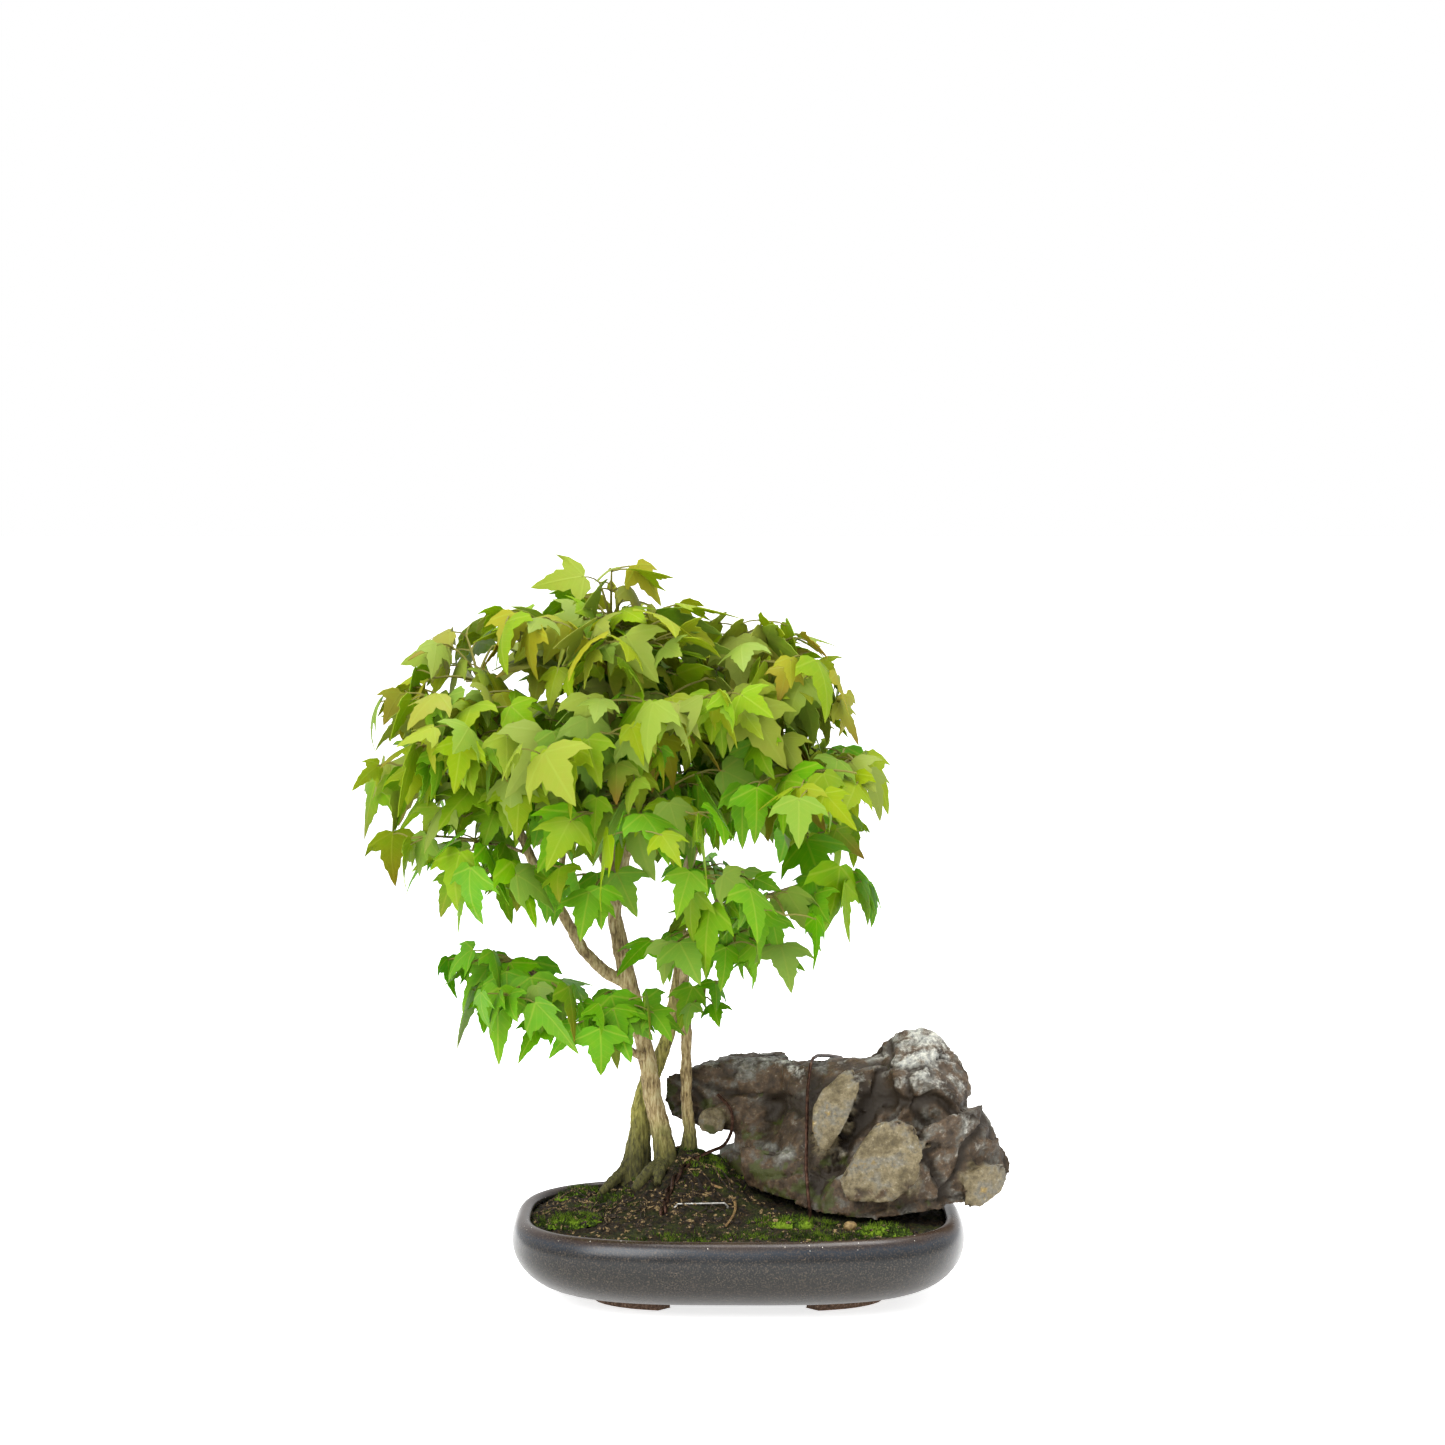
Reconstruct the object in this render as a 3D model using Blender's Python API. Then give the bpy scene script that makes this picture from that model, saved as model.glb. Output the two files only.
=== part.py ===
"""Trident maple clump bonsai with a viewing stone, standing in a shallow oval tray.

Three maples share one root mound at the left of the tray and a craggy stone leans
over its right rim. The model's lengths are millimetres times MM. Everything is
placed from the tray's middle on the table, which the empty tray_middle carries to
its place, so that the middle of the whole object's box is over the origin.
"""

import math
import random

import bmesh
import bpy
from mathutils import Matrix, Vector
from mathutils.bvhtree import BVHTree
from mathutils.noise import noise

for old_object in list(bpy.data.objects):
    bpy.data.objects.remove(old_object, do_unlink=True)

# ---------------------------------------------------------------- driving sizes
MM = 0.001
GAP = 0.4
TRAY_MIDDLE = (38.0, -32.0)

TRAY_LENGTH = 300.0
TRAY_WIDTH = 228.0
TRAY_HEIGHT = 55.5
TRAY_SQUARENESS = 3.0
TRAY_SIDES = 40
BELLY_HEIGHT = 41.0
FOOT_HEIGHT = 7.5
UNDERSIDE_INSET = 44.0
LIP_INSET = 8.5
MOUTH_INSET = 12.5
MOUTH_HEIGHT = 52.0
WALL = 7.5
FLOOR_TOP = FOOT_HEIGHT + 7.0
FOOT_SPAN = (54.0, 98.0)
FOOT_WIDTH = 13.0
FOOT_INSET = 50.0
DRAIN_RADIUS = 8.0
DRAIN_OFFSET = 64.0

SOIL_EDGE = 49.0
MOUND_TOP = (-35.0, 40.0)
MOUND_SPREAD = (30.0, 42.0)
MOUND_RISE = 32.0

SCREEN_BAR = 1.5
SCREEN_OPENING = 5.5
SCREEN_THICKNESS = 1.2
CLIP_WIRE = 1.5
TIE_WIRE = 2.4
STAPLE_WIRE = 1.8

LEAF_THICKNESS = 0.8
STEM_WIDTH = 1.6
PETIOLE_WIDTH = 1.2
LEAF_CLEARANCE = 1.4
LEAF_TRIES = 16
LEAF_PAIRS = 3
GROWTH_SEED = 7

tray_middle = bpy.data.objects.new("tray_middle", None)
tray_middle.location = (TRAY_MIDDLE[0] * MM, TRAY_MIDDLE[1] * MM, 0.0)
bpy.context.scene.collection.objects.link(tray_middle)
cutters = bpy.data.collections.new("cutters")
bpy.context.scene.collection.children.link(cutters)


# ---------------------------------------------------------------- finishes
def finish(name, colour, roughness, metallic=0.0):
    """A Principled material of one colour."""
    material = bpy.data.materials.new(name)
    material.use_nodes = True
    shader = material.node_tree.nodes["Principled BSDF"]
    shader.inputs["Base Color"].default_value = (*colour, 1.0)
    shader.inputs["Roughness"].default_value = roughness
    shader.inputs["Metallic"].default_value = metallic
    material.diffuse_color = (*colour, 1.0)
    return material


GLAZE = finish("tray_glaze", (0.055, 0.055, 0.062), 0.35)
SOIL = finish("soil", (0.045, 0.028, 0.014), 0.95)
ROCK = finish("rock", (0.17, 0.135, 0.10), 0.85)
BARK = finish("bark", (0.21, 0.15, 0.085), 0.85)
MOSSY_BARK = finish("mossy_bark", (0.13, 0.13, 0.05), 0.9)
LEAF = finish("leaf", (0.20, 0.42, 0.03), 0.5)
MOSS = finish("moss", (0.09, 0.17, 0.02), 0.95)
COPPER_BROWN = finish("brown_wire", (0.12, 0.05, 0.035), 0.4, 0.8)
BARE_WIRE = finish("bare_wire", (0.75, 0.75, 0.76), 0.35, 1.0)
MESH_PLASTIC = finish("drain_mesh", (0.02, 0.02, 0.02), 0.6)
ROOT_SKIN = finish("root_skin", (0.45, 0.30, 0.14), 0.8)
TAN_PEBBLE = finish("pebble", (0.25, 0.15, 0.08), 0.8)


# ---------------------------------------------------------------- making objects
def part_from(bm, name, material, smooth_angle=None):
    """Closes off bm as the object name, with its faces outwards and its place in millimetres."""
    bmesh.ops.recalc_face_normals(bm, faces=bm.faces)
    if bm.calc_volume(signed=True) < 0:
        bmesh.ops.reverse_faces(bm, faces=bm.faces)
    mesh = bpy.data.meshes.new(name)
    bm.to_mesh(mesh)
    bm.free()
    mesh.transform(Matrix.Scale(MM, 4))
    mesh.materials.append(material)
    if smooth_angle is not None:
        mesh.shade_smooth()
        mesh.set_sharp_from_angle(angle=math.radians(smooth_angle))
    part = bpy.data.objects.new(name, mesh)
    part.parent = tray_middle
    bpy.context.scene.collection.objects.link(part)
    return part


def make_cutter(part, group):
    """Turns part into a hidden shape of group, for Boolean modifiers."""
    part.hide_render = True
    part.display_type = "WIRE"
    for holder in list(part.users_collection):
        holder.objects.unlink(part)
    group.objects.link(part)
    return part


def new_group(name):
    group = bpy.data.collections.new(name)
    cutters.children.link(group)
    return group


def combine(part, group, operation):
    """Adds or cuts every shape of group to or from part."""
    boolean = part.modifiers.new(operation.lower(), "BOOLEAN")
    boolean.operation = operation
    boolean.operand_type = "COLLECTION"
    boolean.collection = group
    boolean.solver = "EXACT"
    boolean.use_self = operation == "UNION"
    return boolean


def bridge(bm, lower, upper):
    """Faces between two rings of the same number of vertices."""
    count = len(lower)
    for i in range(count):
        j = (i + 1) % count
        bm.faces.new((lower[i], lower[j], upper[j], upper[i]))


def loft(rings):
    """A closed bmesh through rings of points, with flat ends."""
    bm = bmesh.new()
    loops = [[bm.verts.new(point) for point in ring] for ring in rings]
    for lower, upper in zip(loops, loops[1:]):
        bridge(bm, lower, upper)
    bm.faces.new(loops[0])
    bm.faces.new(loops[-1])
    return bm


def tube(points, radii, sides, grow=0.0):
    """A closed tube along points, whose frames turn as little as they can."""
    points = [Vector(point) for point in points]
    rings = []
    across = None
    for i, point in enumerate(points):
        ahead = points[min(i + 1, len(points) - 1)] - points[max(i - 1, 0)]
        ahead.normalize()
        if across is None:
            across = ahead.orthogonal()
        across = (across - ahead * across.dot(ahead)).normalized()
        upward = ahead.cross(across)
        ring = []
        for k in range(sides):
            turn = 2.0 * math.pi * k / sides
            reach = across * math.cos(turn) + upward * math.sin(turn)
            ring.append(point + reach * (radii[i] + grow))
        rings.append(ring)
    return loft(rings)


def curve_through(points, steps):
    """Points of a smooth curve through points, with steps to a span."""
    points = [Vector(point) for point in points]
    padded = [points[0] * 2 - points[1], *points, points[-1] * 2 - points[-2]]
    smooth = []
    for before, start, end, after in zip(padded, padded[1:], padded[2:], padded[3:]):
        for step in range(steps):
            t = step / steps
            smooth.append(
                0.5
                * (
                    start * 2
                    + (end - before) * t
                    + (before * 2 - start * 5 + end * 4 - after) * t * t
                    + (start * 3 - before - end * 3 + after) * t**3
                )
            )
    smooth.append(points[-1])
    return smooth


# ---------------------------------------------------------------- tray
def oval(inset, height, sides=TRAY_SIDES):
    """A ring of the tray's plan, inset from its belly, at a height."""
    length = TRAY_LENGTH / 2 - inset
    width = TRAY_WIDTH / 2 - inset
    ring = []
    for k in range(sides):
        turn = 2.0 * math.pi * k / sides
        across = abs(math.cos(turn) / length) ** TRAY_SQUARENESS
        deep = abs(math.sin(turn) / width) ** TRAY_SQUARENESS
        reach = (across + deep) ** (-1.0 / TRAY_SQUARENESS)
        ring.append((reach * math.cos(turn), reach * math.sin(turn), height))
    return ring


def quarter(start_inset, start_height, end_inset, end_height, steps):
    """Insets and heights on a quarter ellipse whose end is upright."""
    places = []
    for step in range(1, steps + 1):
        turn = math.pi / 2 * step / steps
        inset = end_inset + (start_inset - end_inset) * (1 - math.sin(turn))
        height = start_height + (end_height - start_height) * (1 - math.cos(turn))
        places.append((inset, height))
    return places


def inner_wall():
    """Insets and heights down the inside, from the mouth to the floor."""
    return [
        (MOUTH_INSET, MOUTH_HEIGHT),
        (WALL + 2.0, BELLY_HEIGHT + 5.0),
        (WALL + 1.0, BELLY_HEIGHT - 2.0),
        (WALL + 5.0, BELLY_HEIGHT - 16.0),
        (WALL + 18.0, FLOOR_TOP + 2.5),
        (WALL + 26.0, FLOOR_TOP),
    ]


def make_feet(group):
    """Four brackets that follow the corners of the underside."""
    length = TRAY_LENGTH / 2 - FOOT_INSET
    width = TRAY_WIDTH / 2 - FOOT_INSET
    steps = 6
    for side in (-1, 1):
        for front in (-1, 1):
            outline = []
            for step in range(steps + 1):
                x = FOOT_SPAN[0] + (FOOT_SPAN[1] - FOOT_SPAN[0]) * step / steps
                y = width * (1 - (x / length) ** TRAY_SQUARENESS) ** (1 / TRAY_SQUARENESS)
                outline.append(Vector((x, y, 0.0)))
            inner = [point * (1 - FOOT_WIDTH / point.length) for point in outline]
            plan = outline + inner[::-1]
            if side * front < 0:
                plan = plan[::-1]
            low = [(side * p.x * 0.985, front * p.y * 0.985, 0.0) for p in plan]
            high = [(side * p.x, front * p.y, FOOT_HEIGHT + 3.0) for p in plan]
            make_cutter(part_from(loft([low, high]), "foot_shape", GLAZE), group)


def make_tray():
    outer = [(UNDERSIDE_INSET, FOOT_HEIGHT)]
    outer += quarter(UNDERSIDE_INSET, FOOT_HEIGHT, 0.0, BELLY_HEIGHT, 5)
    shoulder = TRAY_HEIGHT - BELLY_HEIGHT
    for turn in (30, 60, 84):
        inset = LIP_INSET * (1 - math.cos(math.radians(turn)))
        outer.append((inset, BELLY_HEIGHT + shoulder * math.sin(math.radians(turn))))
    lip = [(LIP_INSET + 2.8, TRAY_HEIGHT - 1.0)]
    rings = [oval(inset, height) for inset, height in outer + lip + inner_wall()]
    tray = part_from(loft(rings), "pot", GLAZE, smooth_angle=50)
    feet = new_group("feet")
    make_feet(feet)
    combine(tray, feet, "UNION")
    drains = new_group("drains")
    for side in (-1, 1):
        rings = []
        for height in (0.0, FLOOR_TOP + 5.0):
            ring = []
            for k in range(16):
                turn = 2.0 * math.pi * k / 16
                x = side * DRAIN_OFFSET + DRAIN_RADIUS * math.cos(turn)
                ring.append((x, DRAIN_RADIUS * math.sin(turn), height))
            rings.append(ring)
        make_cutter(part_from(loft(rings), "drain_shape", GLAZE), drains)
    combine(tray, drains, "DIFFERENCE")
    return tray


def make_screens():
    """A square plastic mesh over each drain hole, held by a wire clip."""
    cells = 3
    side_length = cells * SCREEN_OPENING + (cells + 1) * SCREEN_BAR
    stops = []
    for k in range(cells + 1):
        start = -side_length / 2 + k * (SCREEN_OPENING + SCREEN_BAR)
        stops += [start, start + SCREEN_BAR]
    base = FLOOR_TOP + GAP
    for side, name in ((-1, "left"), (1, "right")):
        bm = bmesh.new()
        grid = {}
        for level in (0, 1):
            for i, x in enumerate(stops):
                for j, y in enumerate(stops):
                    place = (side * DRAIN_OFFSET + x, y, base + level * SCREEN_THICKNESS)
                    grid[i, j, level] = bm.verts.new(place)
        last = len(stops) - 1

        def is_bar(i, j):
            inside = 0 <= i < last and 0 <= j < last
            return inside and not (i % 2 == 1 and j % 2 == 1)

        for i in range(last):
            for j in range(last):
                if not is_bar(i, j):
                    continue
                for level in (0, 1):
                    corners = ((i, j), (i + 1, j), (i + 1, j + 1), (i, j + 1))
                    bm.faces.new([grid[a, b, level] for a, b in corners])
                edges = {
                    (i - 1, j): ((i, j), (i, j + 1)),
                    (i + 1, j): ((i + 1, j), (i + 1, j + 1)),
                    (i, j - 1): ((i, j), (i + 1, j)),
                    (i, j + 1): ((i, j + 1), (i + 1, j + 1)),
                }
                for neighbour, (a, b) in edges.items():
                    if not is_bar(*neighbour):
                        bm.faces.new((grid[*a, 0], grid[*b, 0], grid[*b, 1], grid[*a, 1]))
        part_from(bm, f"drain_mesh_{name}", MESH_PLASTIC)
        over = base + SCREEN_THICKNESS + CLIP_WIRE / 2 + GAP
        under = FOOT_HEIGHT - CLIP_WIRE / 2 - GAP
        reach = SCREEN_OPENING / 2 + SCREEN_BAR + SCREEN_OPENING / 2
        inside_hole = reach - 2.2
        middle = side * DRAIN_OFFSET
        clip = [
            (middle - inside_hole - 10.0, 0.0, under),
            (middle - inside_hole, 0.0, under),
            (middle - inside_hole, 0.0, over),
            (middle + inside_hole, 0.0, over),
            (middle + inside_hole, 0.0, under),
            (middle + inside_hole + 10.0, 0.0, under),
        ]
        bm = tube(clip, [CLIP_WIRE / 2] * len(clip), 6)
        part_from(bm, f"mesh_clip_{name}", BARE_WIRE, smooth_angle=60)
    return side_length


# ---------------------------------------------------------------- soil
def soil_height(x, y):
    """Height of the soil, which rises to the root mound and under the stone."""
    along = x / (TRAY_LENGTH / 2 - MOUTH_INSET)
    deep = y / (TRAY_WIDTH / 2 - MOUTH_INSET)
    edge = min(1.0, (abs(along) ** 3 + abs(deep) ** 3) ** (1 / 3))
    dome = 6.0 * (1 - edge**3)
    across = (x - MOUND_TOP[0]) / MOUND_SPREAD[0]
    back = (y - MOUND_TOP[1]) / MOUND_SPREAD[1]
    mound = MOUND_RISE * math.exp(-(across**2 + back**2) / 2) * (1 - edge**6)
    return SOIL_EDGE + dome + mound


def soil_ring(share):
    """A ring of the soil's top, at a share of the way out to the wall."""
    ring = []
    for x, y, _ in oval(MOUTH_INSET + GAP, 0.0):
        ring.append((x * share, y * share, soil_height(x * share, y * share)))
    return ring


def make_soil(pockets, screen_side):
    rings = []
    for inset, height in inner_wall()[::-1]:
        if height < SOIL_EDGE - 1.0:
            rings.append(oval(inset + GAP * 1.6, height + GAP * 1.5))
    for share in (1.0, 0.92, 0.82, 0.72, 0.62, 0.52, 0.42, 0.31, 0.20, 0.08):
        rings.append(soil_ring(share))
    soil = part_from(loft(rings), "soil", SOIL, smooth_angle=60)
    for side in (-1, 1):
        half = screen_side / 2 + GAP
        corners = ((-half, -half), (half, -half), (half, half), (-half, half))
        low = [(side * DRAIN_OFFSET + x, y, FLOOR_TOP - 5.0) for x, y in corners]
        top = FLOOR_TOP + SCREEN_THICKNESS + CLIP_WIRE + GAP * 4
        high = [(x, y, top) for x, y, _ in low]
        make_cutter(part_from(loft([low, high]), "screen_pocket", SOIL), pockets)
    combine(soil, pockets, "DIFFERENCE")
    return soil


# ---------------------------------------------------------------- stone
# Each lump of the rock is the hull of its corners, and they grew together as one stone.
ROCK_LUMPS = {
    "ledge": [
        (-50, 48, 137), (-52, 52, 119), (-46, 56, 107), (-38, 52, 142), (-19, 44, 143),
        (-7, 48, 150), (6, 44, 151), (38, 40, 150), (40, 36, 120), (20, 30, 100),
        (-8, 40, 103), (-28, 50, 101), (-42, 80, 133), (-40, 82, 114), (-5, 92, 146),
        (30, 88, 148), (35, 90, 110), (0, 86, 99),
    ],
    "saddle": [
        (30, 30, 148), (48, 36, 150), (63, 40, 144), (76, 40, 150), (88, 36, 153),
        (86, -4, 150), (50, 2, 135), (38, -2, 118), (26, 6, 100), (36, -18, 84),
        (60, -32, 72), (100, -36, 80), (108, 10, 158), (32, 82, 140), (90, 85, 142),
        (40, 82, 84), (100, 78, 84), (22, 58, 78),
    ],
    "peak": [
        (88, 30, 155), (97, 28, 166), (110, 24, 173), (122, 24, 175), (134, 24, 172),
        (139, 22, 166), (145, 20, 158), (153, 14, 149), (156, 12, 135), (100, -12, 149),
        (122, -24, 147), (144, -18, 136), (95, 68, 140), (125, 66, 151), (148, 56, 130),
        (92, 58, 112), (150, 48, 100), (104, -18, 112), (150, -12, 104),
    ],
    "shoulder": [
        (118, -36, 118), (138, -36, 125), (156, -24, 127), (163, 0, 129), (170, 4, 109),
        (176, 6, 97), (182, 4, 88), (182, 0, 79), (177, 2, 72), (167, -6, 65),
        (150, -14, 62), (120, -40, 63), (102, -44, 66), (98, -46, 90), (165, 50, 108),
        (168, 44, 86), (154, 50, 72), (112, 60, 72),
    ],
    "foot": [
        (5, 4, 70), (3, 2, 84), (1, 6, 97), (20, -8, 98), (44, -28, 61), (60, -40, 58),
        (77, -45, 57), (95, -47, 58), (117, -45, 60), (138, -36, 62), (140, 6, 62),
        (100, 62, 60), (60, 66, 60), (14, 52, 66), (60, -34, 82), (120, -38, 92),
    ],
    "throat": [
        (-2, 36, 88), (-3, 42, 103), (6, 28, 90), (14, 16, 94), (30, 8, 84), (34, 26, 112),
        (12, 34, 108), (30, 76, 84), (32, 78, 110), (-2, 66, 89), (-2, 68, 104),
    ],
    "threshold": [
        (-14, 46, 68), (-13, 48, 82), (-8, 42, 86), (6, 38, 87), (8, 28, 70), (30, 70, 68),
        (6, 74, 87), (-12, 72, 84), (-14, 70, 68), (30, 20, 94), (34, 60, 94), (30, 20, 68),
    ],
    "upper_clast": [
        (70, -16, 152), (75, -14, 153), (55, -22, 140), (48, -22, 127), (48, -25, 112),
        (54, -29, 99), (60, -31, 98), (72, -30, 120), (81, -26, 142), (80, -18, 149),
        (58, 10, 130), (78, 10, 140), (62, 6, 105),
    ],
    "lower_clast": [
        (88, -46, 122), (104, -50, 125), (118, -48, 120), (121, -53, 100),
        (117, -56, 84), (100, -58, 71), (70, -54, 71), (65, -52, 85), (77, -51, 106),
        (90, -10, 115), (115, -10, 110), (75, -10, 80), (110, -10, 76),
    ],
    "end_clast": [
        (150, -26, 84), (161, -28, 90), (176, -17, 90), (180, -12, 81), (174, -15, 69),
        (161, -24, 61), (149, -27, 61), (147, -28, 72), (150, 10, 80), (170, 10, 76),
    ],
    "left_clast": [
        (-28, 34, 109), (-25, 31, 116), (-18, 30, 119), (-10, 33, 116), (-8, 34, 108),
        (-11, 33, 101), (-18, 31, 99), (-26, 34, 102), (-24, 52, 112), (-12, 50, 108),
    ],
}


def hull(points, grow=0.0):
    """The convex hull of points, pushed out from its middle by about grow."""
    middle = sum((Vector(point) for point in points), Vector()) / len(points)
    bm = bmesh.new()
    for point in points:
        reach = Vector(point) - middle
        bm.verts.new(middle + reach * (1 + grow / reach.length))
    result = bmesh.ops.convex_hull(bm, input=bm.verts)
    inside = [item for item in result["geom_interior"] if isinstance(item, bmesh.types.BMVert)]
    bmesh.ops.delete(bm, geom=inside, context="VERTS")
    bmesh.ops.dissolve_limit(
        bm, angle_limit=math.radians(1), verts=bm.verts, edges=bm.edges
    )
    return bm


def make_stone(pockets):
    lumps = new_group("rock_lumps")
    stone = None
    for name, points in ROCK_LUMPS.items():
        if stone is None:
            stone = part_from(hull(points), "stone", ROCK)
        else:
            make_cutter(part_from(hull(points), f"{name}_lump", ROCK), lumps)
        make_cutter(part_from(hull(points, 1.6), f"{name}_pocket", ROCK), pockets)
    combine(stone, lumps, "UNION")
    return stone


# ---------------------------------------------------------------- trunks and limbs
# A limb is its course, given as (x, y, height), and its radii at those places.
FRONT_LIMBS = {
    "trunk": (
        [(-49, 25, 70), (-49, 25, 84), (-51, 25, 100), (-57, 25, 124), (-61, 25, 151),
         (-65, 25, 168), (-71, 24, 195), (-76, 23, 215), (-80, 22, 235), (-84, 21, 255),
         (-86, 20, 285), (-84, 20, 329), (-86, 22, 370), (-86, 24, 410), (-85, 26, 440)],
        [10, 8.6, 6.8, 6.2, 6, 5.8, 5.6, 5.6, 5.4, 4.2, 3.5, 3, 2.5, 2, 1.5],
    ),
    "left_limb": (
        [(-74, 24, 203), (-88, 20, 211), (-103, 17, 226), (-121, 12, 259), (-136, 8, 286),
         (-146, 4, 310), (-155, 0, 335), (-166, -2, 360), (-178, 0, 385)],
        [4.4, 4.2, 4, 3.8, 3.5, 3, 2.6, 2.2, 1.6],
    ),
    "front_limb": (
        [(-82, 20, 246), (-79, 14, 270), (-72, 4, 300), (-64, -12, 335), (-56, -28, 368),
         (-52, -40, 395)],
        [3.4, 3, 2.7, 2.3, 1.9, 1.5],
    ),
    "low_branch": (
        [(-62, 24, 152), (-72, 12, 160), (-86, 2, 175), (-100, -6, 196), (-122, -10, 206),
         (-143, -8, 220)],
        [2.6, 2.3, 2, 1.8, 1.6, 1.4],
    ),
    "back_limb": (
        [(-84, 22, 262), (-92, 40, 290), (-100, 62, 320), (-106, 84, 350), (-110, 100, 375)],
        [3.2, 2.8, 2.4, 2, 1.5],
    ),
    "inner_branch": (
        [(-120, 12, 257), (-117, 2, 286), (-113, -14, 320), (-110, -30, 350),
         (-112, -44, 375)],
        [2.6, 2.3, 2, 1.7, 1.4],
    ),
    "left_root": ([(-50, 24, 83), (-60, 12, 78), (-69, 3, 68)], [6, 4.5, 3]),
    "front_root": ([(-49, 24, 83), (-52, 11, 80), (-54, 1, 72)], [6, 4, 3]),
}
REAR_LIMBS = {
    "trunk": (
        [(-70, 41, 62), (-69, 41, 76), (-67, 41, 94), (-65, 42, 115), (-62, 43, 130),
         (-55, 44, 146), (-48, 43, 163), (-43, 42, 190), (-40, 41, 209), (-40, 40, 224),
         (-38, 40, 250), (-34, 40, 280), (-25, 40, 305), (-16, 38, 328), (-8, 36, 353),
         (2, 36, 385), (8, 36, 415)],
        [13, 11, 7.6, 7.2, 6.6, 5.4, 4.6, 4.2, 4, 3.9, 3.6, 3.3, 3, 2.8, 2.4, 2, 1.5],
    ),
    "right_branch": (
        [(-40, 40, 226), (-30, 34, 240), (-10, 24, 252), (15, 14, 262), (42, 6, 272),
         (62, 2, 285)],
        [2.8, 2.6, 2.3, 2, 1.7, 1.4],
    ),
    "level_branch": (
        [(-20, 38, 318), (0, 30, 326), (33, 22, 340), (60, 16, 347), (78, 14, 352)],
        [2.6, 2.3, 2, 1.7, 1.4],
    ),
    "back_branch": (
        [(-28, 40, 298), (-16, 62, 312), (0, 84, 330), (14, 104, 350)],
        [2.8, 2.3, 1.9, 1.4],
    ),
    "upper_branch": (
        [(-8, 36, 353), (10, 24, 372), (28, 14, 392), (38, 8, 408)],
        [2.2, 1.9, 1.6, 1.4],
    ),
    "left_root": ([(-70, 40, 78), (-82, 33, 70), (-92, 26, 61)], [7, 4.5, 3]),
    "rear_root": ([(-70, 42, 78), (-76, 56, 72), (-80, 67, 65)], [7, 4.5, 3]),
}
SLIM_LIMBS = {
    "trunk": (
        [(-33, 35, 78), (-33, 35, 88), (-33, 35, 102), (-35, 35, 123), (-35, 35, 163),
         (-35, 35, 182), (-37, 33, 196), (-36, 27, 212), (-30, 16, 226), (-24, 2, 240),
         (-18, -14, 256), (-8, -30, 275)],
        [7.5, 6.2, 4.2, 3.7, 3.5, 3.4, 3.2, 2.9, 2.5, 2.2, 1.9, 1.5],
    ),
}

# A twig leaves a limb at its first place and ends at its second, where a leafy shoot
# of this year's growth goes on to the third. A twig of None is a limb's own tip.
FRONT_SHOOTS = {
    "crown_top": (None, (-85, 26, 440), (-84, 14, 480)),
    "crown_left": ((-86, 24, 415), (-112, 14, 438), (-150, 2, 452)),
    "crown_front": ((-86, 24, 400), (-80, -8, 428), (-84, -44, 436)),
    "crown_back": ((-86, 25, 425), (-92, 56, 444), (-100, 92, 434)),
    "upper_left": (None, (-178, 0, 385), (-206, -8, 394)),
    "upper_left_front": ((-161, -1, 348), (-168, -30, 370), (-180, -66, 372)),
    "left_shoulder": ((-173, -1, 375), (-172, 16, 406), (-174, 36, 440)),
    "left_outer": ((-150, 2, 322), (-178, 4, 340), (-214, 4, 348)),
    "left_outer_back": ((-146, 4, 312), (-172, 36, 338), (-206, 74, 344)),
    "left_low": ((-139, 7, 292), (-166, -12, 302), (-204, -20, 300)),
    "left_front_low": ((-122, 12, 261), (-136, -22, 285), (-158, -64, 288)),
    "front_left": (None, (-112, -44, 375), (-124, -88, 366)),
    "front_high": (None, (-52, -40, 395), (-48, -84, 396)),
    "front_low": ((-67, -6, 322), (-60, -42, 330), (-68, -92, 318)),
    "front_inner": ((-80, 16, 264), (-86, -12, 280), (-94, -50, 276)),
    "back_high": (None, (-110, 100, 375), (-120, 138, 366)),
    "back_left": ((-103, 72, 333), (-138, 86, 342), (-178, 106, 338)),
    "back_low": ((-97, 54, 309), (-84, 90, 310), (-74, 130, 298)),
    "low_left": (None, (-143, -8, 220), (-178, -4, 222)),
    "low_front": ((-100, -6, 196), (-96, -26, 198), (-92, -52, 190)),
    "low_middle": ((-122, -10, 206), (-130, -26, 214), (-148, -54, 206)),
}
REAR_SHOOTS = {
    "right_top": (None, (8, 36, 415), (18, 30, 446)),
    "right_top_back": ((0, 36, 380), (-8, 66, 408), (-18, 104, 412)),
    "right_top_front": ((-6, 36, 360), (-10, 4, 392), (-8, -38, 402)),
    "right_upper": (None, (38, 8, 408), (60, -6, 414)),
    "right_outer": (None, (78, 14, 352), (98, 6, 346)),
    "right_front": ((30, 23, 339), (40, -14, 348), (46, -60, 342)),
    "right_back": (None, (14, 104, 350), (34, 138, 342)),
    "right_back_low": ((-10, 70, 318), (30, 86, 318), (70, 94, 302)),
    "right_low": (None, (62, 2, 285), (88, -4, 272)),
    "right_low_front": ((15, 14, 262), (22, -16, 268), (30, -58, 260)),
    "rear_inner": ((-38, 40, 262), (-30, 72, 274), (-22, 112, 272)),
}
SLIM_SHOOTS = {
    "slim_front": (None, (-8, -30, 275), (4, -66, 276)),
    "slim_low": ((-35, 35, 188), (-24, 30, 200), (-10, 22, 204)),
    "slim_right": ((-28, 12, 230), (-6, 0, 238), (18, -14, 234)),
}

solid_things = []


def remember(corners, faces):
    """Keeps a surface, so that leaves can grow clear of it."""
    middle = sum(corners, Vector()) / len(corners)
    reach = max((corner - middle).length for corner in corners)
    solid_things.append((BVHTree.FromPolygons(corners, faces), middle, reach))


def remember_solid(bm):
    bm.verts.index_update()
    corners = [vert.co.copy() for vert in bm.verts]
    remember(corners, [[vert.index for vert in face.verts] for face in bm.faces])


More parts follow.
